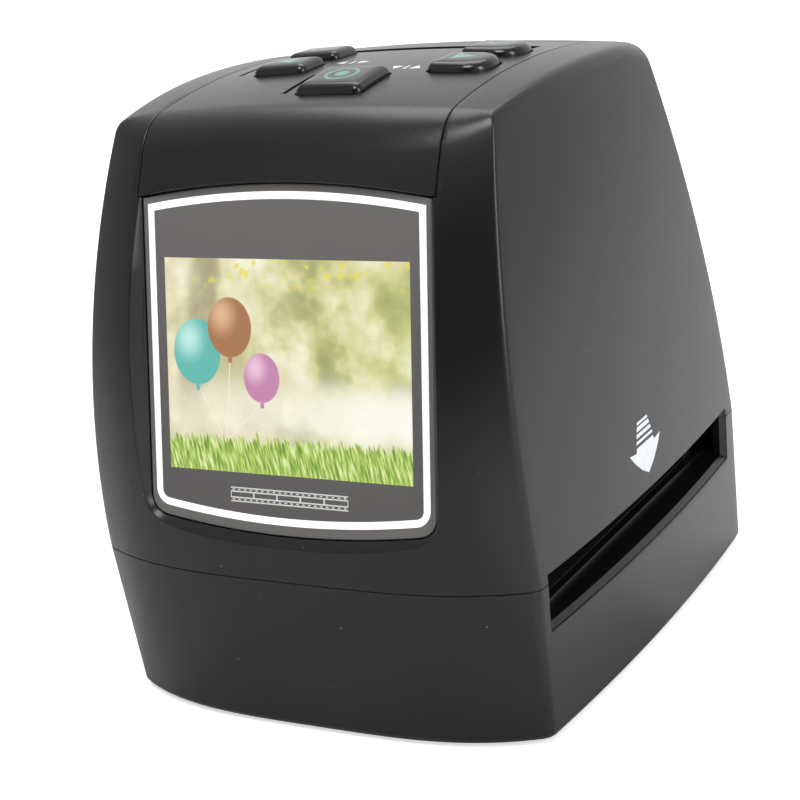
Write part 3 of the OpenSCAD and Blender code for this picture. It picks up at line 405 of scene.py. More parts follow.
def moulded_black(name, rough, marks=None):
    # black plastic: spark-eroded grain, faint cloudiness, a few specks of dust and printed marks
    finish = Finish(name, IOR=1.46)
    cloud = finish.noise(38, 3)
    colour = cloud.ramp((0.3, tint("#121212")), (0.7, tint("#171717")))
    cells = {"Vector": finish.place, "Scale": 600.0}
    speck = finish.node("ShaderNodeTexVoronoi", {}, cells, 0)
    chance = finish.node("ShaderNodeTexVoronoi", {}, cells, 1)
    luck = finish.node("ShaderNodeSeparateColor", {}, {0: chance}, 0)
    dust = speck.under(0.07, 0.05) * luck.over(0.955, 0.01)
    colour = (dust * 0.5).mix(colour, tint("#b9b7b2"))
    if marks:
        colour = marks(finish).mix(colour, tint("#e9e9e6"))
    finish.feed("Base Color", colour)
    fine = finish.noise(5200, 2)
    finish.feed("Roughness", cloud * 0.05 + fine * 0.05 + (rough - 0.05))
    finish.bump(fine, 0.35, 0.00001)
    return finish


case_black = moulded_black("case_black", rough=0.3)
finish_shape(base_shell, "housing", "housing_black", "lower_housing")
case_black.on(base_shell)

# ---- case shell ----
# The upper half of the case, moulded in the same black ABS: four leaning walls in one piece
# with the shoulders and the rim of the top, a tub for the display panel in front, ledges
# for the top strip, posts for the case screws and three openings in the back.
# the top's highest point, and the radii of its arcs: towards the rear, the front and across
CROWN, CROWN_REAR, CROWN_FRONT, CROWN_ACROSS = 102.3, 190, 142, 450


def crown(x, y):
    return CROWN - sag(CROWN_REAR if y > 0 else CROWN_FRONT, y) - sag(CROWN_ACROSS, x)


def front_radius(share):
    # the rounding of the front shoulder, large in the middle and small at the corners
    return 6 - 4 * min(1, share) ** 4


def shoulder_radius(i):
    if i < SIDE_FIRST:
        return front_radius(i / FRONT_STEPS)
    if i < REAR_CORNER_FIRST:
        back = max(0, (i - SIDE_FIRST) / SIDE_STEPS - 0.8) / 0.2
        return 2 + 2 * back**2
    return 4


def inner_point(x, y, r, share):
    # the far end of the rounded shoulder: straight back in the front, towards the middle elsewhere
    toward = Vector((-x, -y)).normalized()
    if share < 1:
        angle = math.atan2(-toward.x, toward.y) * share**12
        toward = Vector((-math.sin(angle), math.cos(angle)))
    return x + toward.x * r, y + toward.y * r


def rim_height(place, d):
    # where the wall would meet the crown: a few steps bring the height to rest
    z = SHOULDER
    for _ in range(7):
        z = crown(*place(z)) - d
    return z


def body_column(i, d, bottom, wall_steps, edge_steps, top_shares):
    def place(z):
        return outline_point(i, z, d)
    top = rim_height(place, d)
    r = max(1.2, shoulder_radius(i) - d)
    rim = (*place(top), top)
    low_z = top - r
    low = (*place(low_z), low_z)
    x, y = inner_point(rim[0], rim[1], r, i / FRONT_STEPS if i < FRONT_STEPS else 1)
    inner = (x, y, crown(x, y) - d)
    column = []
    for k in range(wall_steps):
        z = bottom + (low_z - bottom) * k / wall_steps
        column.append((*place(z), z))
    column += [turn(low, rim, inner, k / edge_steps) for k in range(edge_steps + 1)]
    for share in top_shares:
        column.append((x * share, y * share, crown(x * share, y * share) - d))
    return column


def body_rings(d, bottom, wall_steps, edge_steps, top_shares):
    columns = [body_column(i, d, bottom, wall_steps, edge_steps, top_shares) for i in range(HALF_COUNT)]
    return [whole([c[k] for c in columns]) for k in range(len(columns[0]))]


# the rings across the top, as shares of the way from its middle to the shoulder
top_shares = [1 - 0.06 * k for k in range(1, 16)]
wall_bottom = SHELL_BOTTOM + SEAM_EDGE[-1][0]
outside = body_rings(0, wall_bottom, wall_steps=34, edge_steps=8, top_shares=top_shares)
inside = body_rings(WALL, SHELL_BOTTOM, wall_steps=9, edge_steps=4, top_shares=[0.8, 0.6, 0.4, 0.2, 0.08])
lip = [level_ring(SHELL_BOTTOM + away, d) for away, d in SEAM_EDGE[:2]]
case_shell = loft("case_shell", inside[::-1] + lip + outside)
skin = BVHTree.FromPolygons(
    [v.co / MM for v in case_shell.data.vertices], [list(p.vertices) for p in case_shell.data.polygons]
)

# The top strip's bed: x across, and k along the profile from the seam (0) over the shoulder
# (1 to 2) to the strip's rear end (3).
STRIP_HALF, STRIP_REAR, LIP_STEPS = 28, 25, 28
LEDGE_TOP, LEDGE_LOW = -1.83, -3.1


def share_point(f, k):
    def place(z):
        return front_at(z, 0, f)
    top = rim_height(place, 0)
    r = front_radius(abs(f))
    if k <= 1:
        z = SEAM + (top - r - SEAM) * k
        return (*place(z), z)
    rim = (*place(top), top)
    x, y = inner_point(rim[0], rim[1], r, abs(f))
    if k <= 2:
        return turn((*place(top - r), top - r), rim, (x, y, crown(x, y)), k - 1)
    y += (STRIP_REAR - y) * (k - 2)
    return (x, y, crown(x, y))


def bed_point(x, k, h=0.0):
    # a point over the bed at x and k, h above the surface; the rise is square to the profile,
    # and a few steps find the share of the width at which the bent surface passes x
    def on_surface(k):
        f = x / 37
        for _ in range(4 if x else 0):
            f *= x / share_point(f, k)[0]
        return share_point(f, k)
    p = on_surface(k)
    if not h:
        return (x, p[1], p[2])
    a, b = on_surface(k - 0.01), on_surface(k + 0.01)
    dy, dz = b[1] - a[1], b[2] - a[2]
    size = math.hypot(dy, dz)
    return (x, p[1] - h * dz / size, p[2] + h * dy / size)


TILT = math.radians(12.9)
PANEL_Y, PANEL_Z = -38.05, 61.2
PANEL_HALF, PANEL_TOP, PANEL_BOTTOM, PANEL_CORNER, PANEL_RADIUS = 27.1, 29.3, 27.2, 3.2, 160


def on_panel(x, v, w):
    # a point at x across and v up the display panel's face, w in front of it
    y = PANEL_Y + v * math.sin(TILT) - w * math.cos(TILT)
    return (x, y, PANEL_Z + v * math.cos(TILT) + w * math.sin(TILT))


def arc_drop(x):
    return sag(PANEL_RADIUS, x)


def lip_k(x, v):
    # where the profile at x passes v on the display panel's scale
    low, high = 0.6, 1.9
    for _ in range(22):
        k = (low + high) / 2
        p = bed_point(x, k)
        up = (p[1] - PANEL_Y) * math.sin(TILT) + (p[2] - PANEL_Z) * math.cos(TILT)
        low, high = (k, high) if up < v else (low, k)
    return low


def pace(x, k):
    # how many millimetres of profile one unit of k is
    a, b = bed_point(x, k - 0.01), bed_point(x, k + 0.01)
    return math.dist(a, b) / 0.02


def bed_loop(grown):
    # the bed's outline grown outwards: over the front edge, back along one side, across and forward
    half = STRIP_HALF + grown
    front = []
    for k in range(LIP_STEPS + 1):
        x = -half + 2 * half * k / LIP_STEPS
        inner_x = max(-STRIP_HALF, min(STRIP_HALF, x))
        start = lip_k(inner_x, PANEL_TOP + 0.2 - arc_drop(inner_x))
        front.append((x, start - grown / pace(inner_x, start)))
    rear = 3 + grown / pace(0, 2.9)
    steps = [0.06 * j for j in range(1, 17)]
    start = front[-1][1]
    side = [start + (2 - start) * s for s in steps] + [2 + (rear - 2) * j / 24 for j in range(1, 24)]
    back = [(half - 2 * half * j / 20, rear) for j in range(21)]
    return front + [(half, k) for k in side] + back + [(-half, k) for k in side[::-1]]


def bed_ring(grown, h):
    return [bed_point(x, k, h) for x, k in bed_loop(grown)]


rings = [bed_ring(0, -8)] + [bed_ring(g, h) for g, h in EASE]
rings.append([(p[0], p[1], ABOVE) for p in rings[-1]])
combine(case_shell, loft("bed_cutter", rings))

loops = [bed_loop(-1.3), bed_loop(1.5)]
ledge = []
corners = ((0, LEDGE_TOP), (1, LEDGE_TOP), (1, LEDGE_LOW), (0, LEDGE_LOW))
for i in range(LIP_STEPS + 1, len(loops[0])):
    ledge.append([bed_point(*loops[side][i], h) for side, h in corners])
combine(case_shell, loft("ledge", ledge), "UNION")


def panel_loop(side, top, bottom):
    # the display panel's outline, grown at the sides, the top and the bottom
    w, c = PANEL_HALF + side, PANEL_CORNER + side
    low, high = -PANEL_BOTTOM - bottom, PANEL_TOP + top
    corner = [turn((w - c, low + arc_drop(w - c)), (w, low + arc_drop(w)), (w, low + arc_drop(w) + c), k / 8)
              for k in range(9)]
    start = corner[-1][1]
    right = [(w, start + (high - arc_drop(w) - start) * k / 18) for k in range(1, 18)]
    top_edge = [(w * (1 - k / 16), high - arc_drop(w * (1 - k / 16))) for k in range(33)]
    bottom_edge = [((c - w) * (1 - k / 12), low + arc_drop((c - w) * (1 - k / 12))) for k in range(1, 24)]
    mirror = [(-x, v) for x, v in (corner + right)[::-1]]
    return corner + right + top_edge + mirror + bottom_edge


# the pocket's flared wall: its gap to the panel, and how far it opens per millimetre of height
POCKET_GAP, SIDE_SLOPE, FLOOR_SLOPE, RISE = 0.2, 0.53, 1.1, 8
FLARE_LOW = panel_loop(POCKET_GAP, POCKET_GAP, POCKET_GAP)
opened = POCKET_GAP + SIDE_SLOPE * RISE
FLARE_HIGH = panel_loop(opened, opened, POCKET_GAP + FLOOR_SLOPE * RISE)
# heights over the panel's face between which the case's surface is looked for
FAR, NEAR = 16, -2


def flare(i, w, grown=0.0):
    # point i of the flared wall at height w over the panel's face, moved outwards by grown
    a, b = FLARE_LOW[i], FLARE_HIGH[i]
    x, v, h = (p + (q - p) * w / RISE for p, q in zip((*a, 0), (*b, RISE)))
    away = Vector((b[0] - a[0], b[1] - a[1])).normalized()
    return x + away.x * grown, v + away.y * grown, h


reach = []
for i in range(len(FLARE_LOW)):
    far, near = Vector(on_panel(*flare(i, FAR))), Vector(on_panel(*flare(i, NEAR)))
    hit = skin.ray_cast(far, (near - far).normalized())[0]
    reach.append(FAR - (FAR - NEAR) * (hit - far).length / (near - far).length)

# the tub behind the panel, from its back to just under the case's surface
TUB_WALL, TUB_BACK, TUB_LEAST, UNDER_SKIN = 1.8, -2.7, -2.5, 1.95
tub_loop = panel_loop(TUB_WALL, TUB_WALL, TUB_WALL)
tub = [[on_panel(x, v, TUB_BACK) for x, v in tub_loop]]
tub.append([on_panel(x, v, max(TUB_LEAST, w - UNDER_SKIN)) for (x, v), w in zip(tub_loop, reach)])
combine(case_shell, loft("tub", tub), "UNION")


def panel_block(name, half_x, half_v, low, high):
    # a block around the middle of the display panel, between two depths
    corners = ((-half_x, -half_v), (half_x, -half_v), (half_x, half_v), (-half_x, half_v))
    return loft(name, [[on_panel(x, v, w) for x, v in corners] for w in (low, high)])


POST_X, POST_V, POST_RADIUS = 32.8, 14, 2.1
combine(case_shell, panel_block("plate", half_x=35.3, half_v=18.6, low=-2.6, high=-1.6), "UNION")
round_post = [(POST_RADIUS * math.cos(math.radians(a)), POST_RADIUS * math.sin(math.radians(a)))
              for a in range(0, 360, 15)]
for x in (-POST_X, POST_X):
    for v in (-POST_V, POST_V):
        post = [[on_panel(x + across, v + up, w) for across, up in round_post] for w in (-5.1, -2.2)]
        combine(case_shell, loft("post", post), "UNION")
for x, y in CASE_SCREWS:
    combine(case_shell, rod(x, y, low=27.3, high=35.2, radius=3), "UNION")

pocket = [[on_panel(x, v, w) for x, v in FLARE_LOW] for w in (-1.5, 0)]
pocket.append([on_panel(*flare(i, w - EASED)) for i, w in enumerate(reach)])
for grown, height in EASE[1:]:
    ring = [flare(i, w, grown) for i, w in enumerate(reach)]
    pocket.append([on_panel(x, v, h + height) for x, v, h in ring])
pocket.append([on_panel(x, v, 30) for x, v, h in ring])
combine(case_shell, loft("pocket", pocket))
combine(case_shell, panel_block("view", half_x=25, half_v=19, low=-10, high=0))
for side in (-1, 1):
    combine(case_shell, slot_cutter(side))
    combine(case_shell, line_cutter(side))
for x, y in CASE_SCREWS:
    combine(case_shell, rod(x, y, low=26, high=33.4, radius=1.15, sides=24))


def rear_surface(x, z):
    # the rear wall's y at a place on it
    g = x / (half_width(z) + SIDE_GROWTH)
    return rear_corner(z) + REAR_BOW * (1 - g * g)


def port_loop(x, z, half_w, half_h, radius, grown):
    r, loop = radius + grown, []
    for quarter in range(4):
        cx = x + (half_w - radius) * (1, -1, -1, 1)[quarter]
        cz = z + (half_h - radius) * (1, 1, -1, -1)[quarter]
        for k in range(9 if half_w > radius else 8):
            angle = (quarter + k / 8) * math.pi / 2
            loop.append((cx + r * math.cos(angle), cz + r * math.sin(angle)))
    return loop


# x, z, half the width, half the height and the corner radius of each opening in the back
PORTS = ((-19.5, 46.7, 14, 2, 0.5), (8, 47.3, 4.5, 2.6, 0.5), (22, 48, 3.3, 3.3, 3.3))
for port in PORTS:
    rings = [[(x, 34, z) for x, z in port_loop(*port, 0)]]
    for grown, height in EASE:
        rings.append([(x, rear_surface(x, z) + height, z) for x, z in port_loop(*port, grown)])
    rings.append([(p[0], OUTSIDE, p[2]) for p in rings[-1]])
    combine(case_shell, loft("port_cutter", rings))
finish_shape(case_shell, "housing", "housing_black", "upper_housing")
case_black.on(case_shell)

# ---- top strip ----
# A separate moulding that wraps over the front shoulder and covers the middle of the top.
# It drops onto the case's ledges, and five button holes and three fine grooves are moulded in.

# each button's middle, width, depth and the radius of its corners on the right
BUTTONS = {
    "power": (-14.7, 8.9, 10.4, 7.8, 1.4), "left": (-14.7, -2.1, 10.4, 7.8, 1.4),
    "scan": (2.5, -13.1, 12.4, 11.2, 1.4), "right": (19.9, -2.8, 10.6, 9.2, 4.2),
    "ok": (19.9, 8.9, 10.6, 9.2, 4.2),
}
LEFT_CORNER, HOLE_GAP = 1.2, 0.25


def button_loop(button, grown):
    # outline of a cap, anticlockwise from the middle of its right edge
    cx, cy, w, d, right_r = BUTTONS[button]
    corners = []
    for sx, sy, radius in ((1, 1, right_r), (-1, 1, LEFT_CORNER), (-1, -1, LEFT_CORNER), (1, -1, right_r)):
        r = max(0.05, radius + grown)
        corners.append((cx + sx * (w / 2 + grown - r), cy + sy * (d / 2 + grown - r), r))
    loop = []
    for quarter, (ax, ay, r) in enumerate(corners):
        bx, by, next_r = corners[(quarter + 1) % 4]
        for k in range(9):
            angle = (quarter + k / 8) * math.pi / 2
            loop.append((ax + r * math.cos(angle), ay + r * math.sin(angle)))
        end = (quarter + 1) * math.pi / 2
        start = (ax + r * math.cos(end), ay + r * math.sin(end))
        stop = (bx + next_r * math.cos(end), by + next_r * math.sin(end))
        loop += [tuple(p + (q - p) * k / 6 for p, q in zip(start, stop)) for k in range(1, 6)]
    return loop


STRIP_GAP, STRIP_THICK, TOP_SHARE = 0.15, 1.8, 0.98
strip_half = STRIP_HALF - STRIP_GAP
edge = EASE[:3]
across = [(-strip_half, -STRIP_THICK)] + [(-strip_half + g, h) for g, h in edge]
across += [((strip_half - EASED) * (k / 17 - 1), 0) for k in range(1, 34)]
across += [(strip_half - g, h) for g, h in edge[::-1]] + [(strip_half, -STRIP_THICK)]
across += [(x, -STRIP_THICK) for x, h in across[-2:0:-1]]
starts = {x: lip_k(x, PANEL_TOP + 0.35 - arc_drop(x)) for x, h in across}
stations = [("front", 0, -STRIP_THICK)] + [("front", g, h) for g, h in edge]
stations += [("curve", k / 20, 0) for k in range(2, 20)] + [("top", k / 34, 0) for k in range(0, 34)]
stations += [("rear", g, h) for g, h in edge[::-1]] + [("rear", 0, -STRIP_THICK)]
rings = []
for where, amount, cap in stations:
    ring = []
    for x, h in across:
        start = starts[x]
        if where == "front":
            k = start + amount / pace(x, start)
        elif where == "curve":
            k = start + (2 - start) * amount
        elif where == "top":
            k = 2 + TOP_SHARE * amount
        else:
            k = 3 - (amount + STRIP_GAP) / pace(x, 2.9)
        ring.append(bed_point(x, k, min(h, cap)))
    rings.append(ring)
top_strip = loft("top_strip", rings)
for button in BUTTONS:
    hole = [[(x, y, 90) for x, y in button_loop(button, HOLE_GAP)]]
    for grown, height in EASE:
        hole.append([(x, y, crown(x, y) + height) for x, y in button_loop(button, HOLE_GAP + grown * 0.75)])
    hole.append([(p[0], p[1], ABOVE) for p in hole[-1]])
    combine(top_strip, loft("hole_cutter", hole))
# each groove between two corners, with its depth at the first and at the second corner
GROOVES = (((-24, 12.6), (24, 16.4), -0.02, 0.34), ((-24, -4.3), (-23.2, 16.2), 0.35, 0.35),
           ((-6.6, -17.8), (-5.7, -7.2), 0.35, 0.35))
for (x0, y0), (x1, y1), deep0, deep1 in GROOVES:
    rings = []
    for k in range(41):
        x, y = x0 + (x1 - x0) * k / 40, y0 + (y1 - y0) * k / 40
        (ax, ay), (bx, by) = ((x, y0), (x, y1)) if x1 - x0 > y1 - y0 else ((x0, y), (x1, y))
        low = [(ax, ay, crown(ax, ay) - deep0), (bx, by, crown(bx, by) - deep1)]
        rings.append(low + [(bx, by, ABOVE), (ax, ay, ABOVE)])
    combine(top_strip, loft("groove_cutter", rings))
finish_shape(top_strip, "housing", "cover_black", "top_cover")


def wedge(across, along, way):
    # a small solid triangle that points along way
    return ((along * way + 1.1) * 0.55 - abs(across)).over(0, 0.08) * (along * way).under(0.9, 0.08)


def strip_marks(finish):
    # a bar between two wedges that point sideways, for mirror, or up and down, for flip
    x, y, z = finish.axes()
    x, y = x * 1000, y * 1000
    mirror, down = x + 4, y - 1.2
    marks = wedge(down, mirror + 2.2, 1).most(wedge(down, mirror - 2.2, -1))
    marks = marks.most(abs(mirror).under(0.2, 0.06) * abs(down).under(1.2, 0.06))
    flip, down = x - 9.3, y + 4
    marks = marks.most(wedge(flip + 1.9, down, 1)).most(wedge(flip - 1.9, down, -1))
    marks = marks.most(abs(flip).under(0.2, 0.06) * abs(down).under(1.2, 0.06))
    return marks * z.over(0.09, 0.001) * 0.8


strip_black = moulded_black("strip_black", rough=0.28, marks=strip_marks)
strip_black.on(top_strip)

# ---- display panel ----
# A clear acrylic panel, printed from behind: a grey field with a white frame line, a strip of
# film in outline below, and the picture of the display that sits behind it.
rings = [[on_panel(x, v, -1.5) for x, v in panel_loop(0, 0, 0)]]
for drawn, w in ((0, -0.24), (-0.07, -0.07), (-0.24, 0)):
    rings.append([on_panel(x, v, w) for x, v in panel_loop(drawn, drawn, drawn)])
display_panel = loft("display_panel", rings)
finish_shape(display_panel, "housing", "lens_grey", "lcd_window")

print_finish = Finish("printed_panel", IOR=1.49, Emission_Strength=1.0)
px, py, pz = print_finish.axes()
x_mm = px * 1000
v_mm = (py * 1000 - PANEL_Y) * math.sin(TILT) + (pz * 1000 - PANEL_Z) * math.cos(TILT)
PRINT_CORNER = 3.4


def inside_print():
    # how far inside the print's rounded outline a place lies, in millimetres
    drop = x_mm * x_mm / (2 * PANEL_RADIUS)
    to_side = PANEL_HALF - abs(x_mm)
    to_top = PANEL_TOP - drop - v_mm - 0.2
    to_bottom = v_mm + PANEL_BOTTOM - drop - 0.7
    out, down = (PRINT_CORNER - to_side).most(0), (PRINT_CORNER - to_bottom).most(0)
    to_corner = PRINT_CORNER - (out * out + down * down).root()
    return to_corner.least(to_top).least(to_side)


inward = inside_print()
frame_line = inward.over(1, 0.06) * inward.under(2.22, 0.06)
grey = (v_mm * 0.018 + 0.5).ramp((0, tint("#5a5857")), (1, tint("#6a6867")))
field = inward.over(0.9, 0.3).mix(tint("#6b6967"), grey)
FILM_HALF, FILM_DOWN, FRAMES, HOLES = 11.2, 21, 5, 20


def film_strip():
    # a strip of film in outline: two rails, five frames and a row of small holes in each rail
    frame_at = abs(((x_mm + FILM_HALF) * (FRAMES / FILM_HALF / 2)).math("FRACT") - 0.5)
    hole_at = abs(((x_mm + FILM_HALF) * (HOLES / FILM_HALF / 2)).math("FRACT") - 0.5)
    height = abs(v_mm + FILM_DOWN)
    lines = height.over(1.02, 0.06).most(frame_at.over(0.468, 0.01) * height.under(0.6, 0.06))
    lines = lines.most(height.over(0.38, 0.06) * height.under(0.6, 0.06))
    holes = hole_at.under(0.2, 0.06) * abs(height - 0.82).under(0.1, 0.05)
    return abs(x_mm).under(FILM_HALF, 0.04) * height.under(1.22, 0.06) * lines.most(holes)


printed = film_strip().mix(frame_line.mix(field, tint("#fdfcfa")), tint("#dedddb"))

# the picture: u and t are shares of its width and height
VIEW_HALF, VIEW_UP = 23.1, 17.35
u, t = (x_mm + VIEW_HALF) / (2 * VIEW_HALF), (v_mm + VIEW_UP) / (2 * VIEW_UP)
seen = abs(x_mm).under(VIEW_HALF, 0.08) * abs(v_mm).under(VIEW_UP, 0.08)


def woodland():
    # blurred trees, warmer on the left, with round spots of light, a trunk, haze and hanging leaves
    flat = print_finish.joined(u * 1.33, t, 0.0)
    leaves = print_finish.noise(3.1, 3.5, flat, 0.55)
    view = leaves.ramp(
        (0.28, tint("#8a8e60")), (0.42, tint("#b5b878")), (0.5, tint("#d7d59c")), (0.6, tint("#ecebc8")),
        (0.74, tint("#fbfaee"))
    )
    view = ((0.62 - u).most(0) * 0.6).mix(view, tint("#f1ead9"))
    view = ((u - 0.66).most(0) * 0.8).mix(view, tint("#c6d17e"))
    warm = print_finish.noise(2.2, 2, print_finish.joined(u + 4.1, t * 1.2, 2.0))
    view = (warm.over(0.56, 0.16) * 0.45).mix(view, tint("#d9c99a"))
    spots_at = {"Vector": flat, "Scale": 9.0, "Randomness": 1.0}
    spot = print_finish.node("ShaderNodeTexVoronoi", {}, spots_at, 0)
    view = (spot.under(0.34, 0.1) * leaves.over(0.5, 0.1) * 0.35).mix(view, tint("#f7f3c9"))
    from_trunk = abs(u - 0.13 - (t - 0.6) * 0.12 + (leaves - 0.5) * 0.12)
    view = (from_trunk.under(0.055, 0.05) * t.over(0.3, 0.2) * 0.5).mix(view, tint("#8b7f63"))
    haze = abs(t - 0.29 + (leaves - 0.5) * 0.16).under(0.12, 0.16) * (u * 0.75 + 0.3).least(1)
    view = (haze * 0.9).mix(view, tint("#fdfcf1"))
    canopy = print_finish.noise(11, 1, print_finish.joined(u * 1.4, t * 1.3, 7.0))
    leaf_at = {"Vector": flat, "Scale": 20.0, "Randomness": 0.9}
    leaf = print_finish.node("ShaderNodeTexVoronoi", {}, leaf_at, 0)
    hang = leaf.under(0.42, 0.22) * canopy.over(0.5, 0.1) * t.over(0.88, 0.12) * u.over(0.12, 0.05)
    return (hang * 0.8).mix(view, tint("#e8d94e"))


STRING_U, STRING_T = 0.245, 0.14


def balloon(scene, cu, ct, ru, rt, colour, light):
    # a ball with a soft shine, a knot and a string down to where all three are tied
    du, dt = (u - cu) / ru, (t - ct) / rt
    body = (du * du + dt * dt).root().under(1, 0.06)
    shine = ((du + 0.35) * (du + 0.35) + (dt - 0.4) * (dt - 0.4)).root()
    tone = shine.under(0.45, 0.9).mix(colour, light)
    knot = abs(u - cu).under(0.008, 0.004) * abs(t - ct + rt + 0.012).under(0.014, 0.006)
    along = (t - STRING_T) / (ct - rt - STRING_T)
    string = abs(u - STRING_U - along * (cu - STRING_U)).under(0.0022, 0.003)
    string = string * t.under(ct - rt, 0.004) * t.over(STRING_T, 0.01)
    scene = (string * 0.8).mix(scene, tint("#f3efe2"))
    return body.most(knot).mix(scene, tone)


def meadow(scene):
    # grass in front: blades of uneven height, drawn out upwards
    tuft = print_finish.noise(26, 1, print_finish.joined(u * 1.3, 0.0, 3.0))
    blades = print_finish.noise(90, 2, print_finish.joined(u * 1.3 + t * 0.22, t * 0.05, 0.0))
    grass = (tuft * 0.12 + blades * 0.13 + 0.03 - t).over(0.0, 0.02)
    fine = print_finish.noise(70, 2, print_finish.joined(u * 1.5 + t * 0.3, t * 0.16, 5.0))
    green = fine.ramp(
        (0.32, tint("#6d8f33")), (0.46, tint("#94b74c")), (0.56, tint("#bfd675")), (0.7, tint("#eef3bd"))
    )
    return grass.mix(scene, green)


scene = balloon(woodland(), 0.13, 0.56, 0.10, 0.155, tint("#63b9b0"), tint("#bfeee6"))
scene = balloon(scene, 0.4, 0.45, 0.074, 0.115, tint("#c585ad"), tint("#efc6dd"))
scene = balloon(scene, 0.27, 0.68, 0.092, 0.14, tint("#a9764f"), tint("#e3b78e"))
scene = meadow(scene)

black = (0.0, 0.0, 0.0, 1)
print_finish.feed("Base Color", seen.mix(printed, tint("#101010")))
# the picture glows as the lit display does; outside it the printed white frame line gets a faint painted
# glow, painted light that makes the line read brighter
print_finish.feed("Emission Color", seen.mix((frame_line * 0.28).mix(black, tint("#fdfcfa")), scene))
smear = print_finish.noise(60, 3)
print_finish.feed("Roughness", smear * 0.06 + 0.13)
print_finish.on(display_panel)

# ---- arrow print ----
# A plain arrow of four bars and a head, pad printed in silver on the right wall: it shows
# which way the film holder goes in.

# the arrow's place along the wall, and how far the ink stands out and how thick it is
ARROW_Y, INK_RISE, INK_THICK = 0.55, 0.02, 0.05
# each bar's half width and height, at its top and at its bottom
BARS = ((2.0, 40.95, 2.25, 40.48), (2.3, 40.17, 2.6, 39.43),
        (2.72, 39.04, 3.0, 38.4), (3.16, 37.88, 3.33, 37.4))
ARROW = [[(-w0, z0), (w0, z0), (w1, z1), (-w1, z1)] for w0, z0, w1, z1 in BARS]
head = [(-3.3, 36.81), (3.3, 36.81), (3.66, 36.04), (6.25, 36.4), (5.35, 35.3), (4.1, 34.1), (2.3, 32.65)]
ARROW.append(head + [(0, 31.35)] + [(-y, z) for y, z in head[:1:-1]])
bars = []
for shape in ARROW:
    bpy.ops.object.select_all(action="DESELECT")
    bpy.ops.mesh.primitive_circle_add(vertices=len(shape), fill_type="NGON", calc_uvs=False)
    bar = bpy.context.object
    bar.data.vertices.foreach_set("co", [c * MM for y, z in shape for c in (43, ARROW_Y + y, z)])
    bpy.ops.object.mode_set(mode="EDIT")
    for k in range(-7, 8):
        bpy.ops.mesh.select_all(action="SELECT")
        bpy.ops.mesh.bisect(plane_co=(0, (ARROW_Y + k + 0.03) * MM, 0), plane_no=(0, 1, 0))
    bpy.ops.object.mode_set(mode="OBJECT")
    for v in bar.data.vertices:
        v.co.x = (side_surface(v.co.y / MM, v.co.z / MM) + INK_RISE) * MM
    bpy.ops.object.mode_set(mode="EDIT")
    bpy.ops.mesh.select_all(action="SELECT")
    bpy.ops.mesh.normals_make_consistent(inside=False)
    bpy.ops.mesh.extrude_region_move(TRANSFORM_OT_translate={"value": (-INK_THICK * MM, 0, 0)})
    bpy.ops.mesh.select_all(action="SELECT")
    bpy.ops.mesh.normals_make_consistent(inside=False)
    bpy.ops.object.mode_set(mode="OBJECT")
    bars.append(bar)
bpy.ops.object.select_all(action="DESELECT")
for bar in bars:
    bar.select_set(True)
bpy.context.view_layer.objects.active = bars[0]
bpy.ops.object.join()
arrow_print = bpy.context.object
arrow_print.name = arrow_print.data.name = "arrow_print"
finish_shape(arrow_print, "housing", "screw_steel", smooth=30)
silver_ink = Finish("silver_ink", Roughness=0.4)
worn = silver_ink.noise(900, 3)
silver_ink.feed("Base Color", worn.ramp((0.25, tint("#dde3e9")), (0.6, tint("#e9eef2"))))
silver_ink.on(arrow_print)

# ---- buttons ----
# Five caps of smooth black ABS. Each has a flange that keeps it under the top strip and a
# foot on its switch's plunger, and slides straight down. Plain symbols are printed on top.

# where the feet end, how far the flange stands out and lies under the top, and the feet's radius
FOOT_Z = crown(*BUTTONS["ok"][:2]) - 4.5
FLANGE, FLANGE_DOWN, FOOT_RADIUS = 0.55, 2.1, 2.1
# the rounded edge and the top: how far the cap is drawn in at each rise over the strip
CAP_EDGE = ((0.04, 0.4), (0.13, 0.65), (0.27, 0.87), (0.46, 1.07), (0.7, 1.24), (0.98, 1.38),
            (1.3, 1.47), (1.65, 1.53), (2.05, 1.56), (2.5, 1.57), (3, 1.575), (3.5, 1.577))


def cap(button):
    cx, cy, w, d = BUTTONS[button][:4]
    flange_x, flange_y = w / 2 + FLANGE, d / 2 + FLANGE
    heights = [crown(cx + sx * flange_x, cy + sy * flange_y) for sx in (-1, 1) for sy in (-1, 1)]
    under = min(heights) - FLANGE_DOWN
    outline = button_loop(button, 0)
    foot = []
    for x, y in outline:
        reach = math.hypot(x - cx, y - cy)
        foot.append((cx + FOOT_RADIUS * (x - cx) / reach, cy + FOOT_RADIUS * (y - cy) / reach))
    rings = [[(x, y, FOOT_Z) for x, y in foot], [(x, y, under - 1) for x, y in foot]]
    rings += [[(x, y, z) for x, y in button_loop(button, FLANGE)] for z in (under - 1, under)]
    rings += [[(x, y, under) for x, y in outline], [(x, y, crown(x, y) + 0.15) for x, y in outline]]
    for drawn, rise in CAP_EDGE:
        rings.append([(x, y, crown(x, y) + rise) for x, y in button_loop(button, -drawn)])
    return loft("button_" + button, rings)


def smooth_black(name):
    # finer and glossier than the case, and its colour is returned for the print to go on
    finish = Finish(name, IOR=1.5)
    cloud = finish.noise(60, 3)
    fine = finish.noise(3800, 2)
    finish.feed("Roughness", cloud * 0.05 + fine * 0.04 + 0.17)
    finish.bump(fine, 0.4, 0.000006)
    return finish, cloud.ramp((0.3, tint("#131313")), (0.7, tint("#191919")))


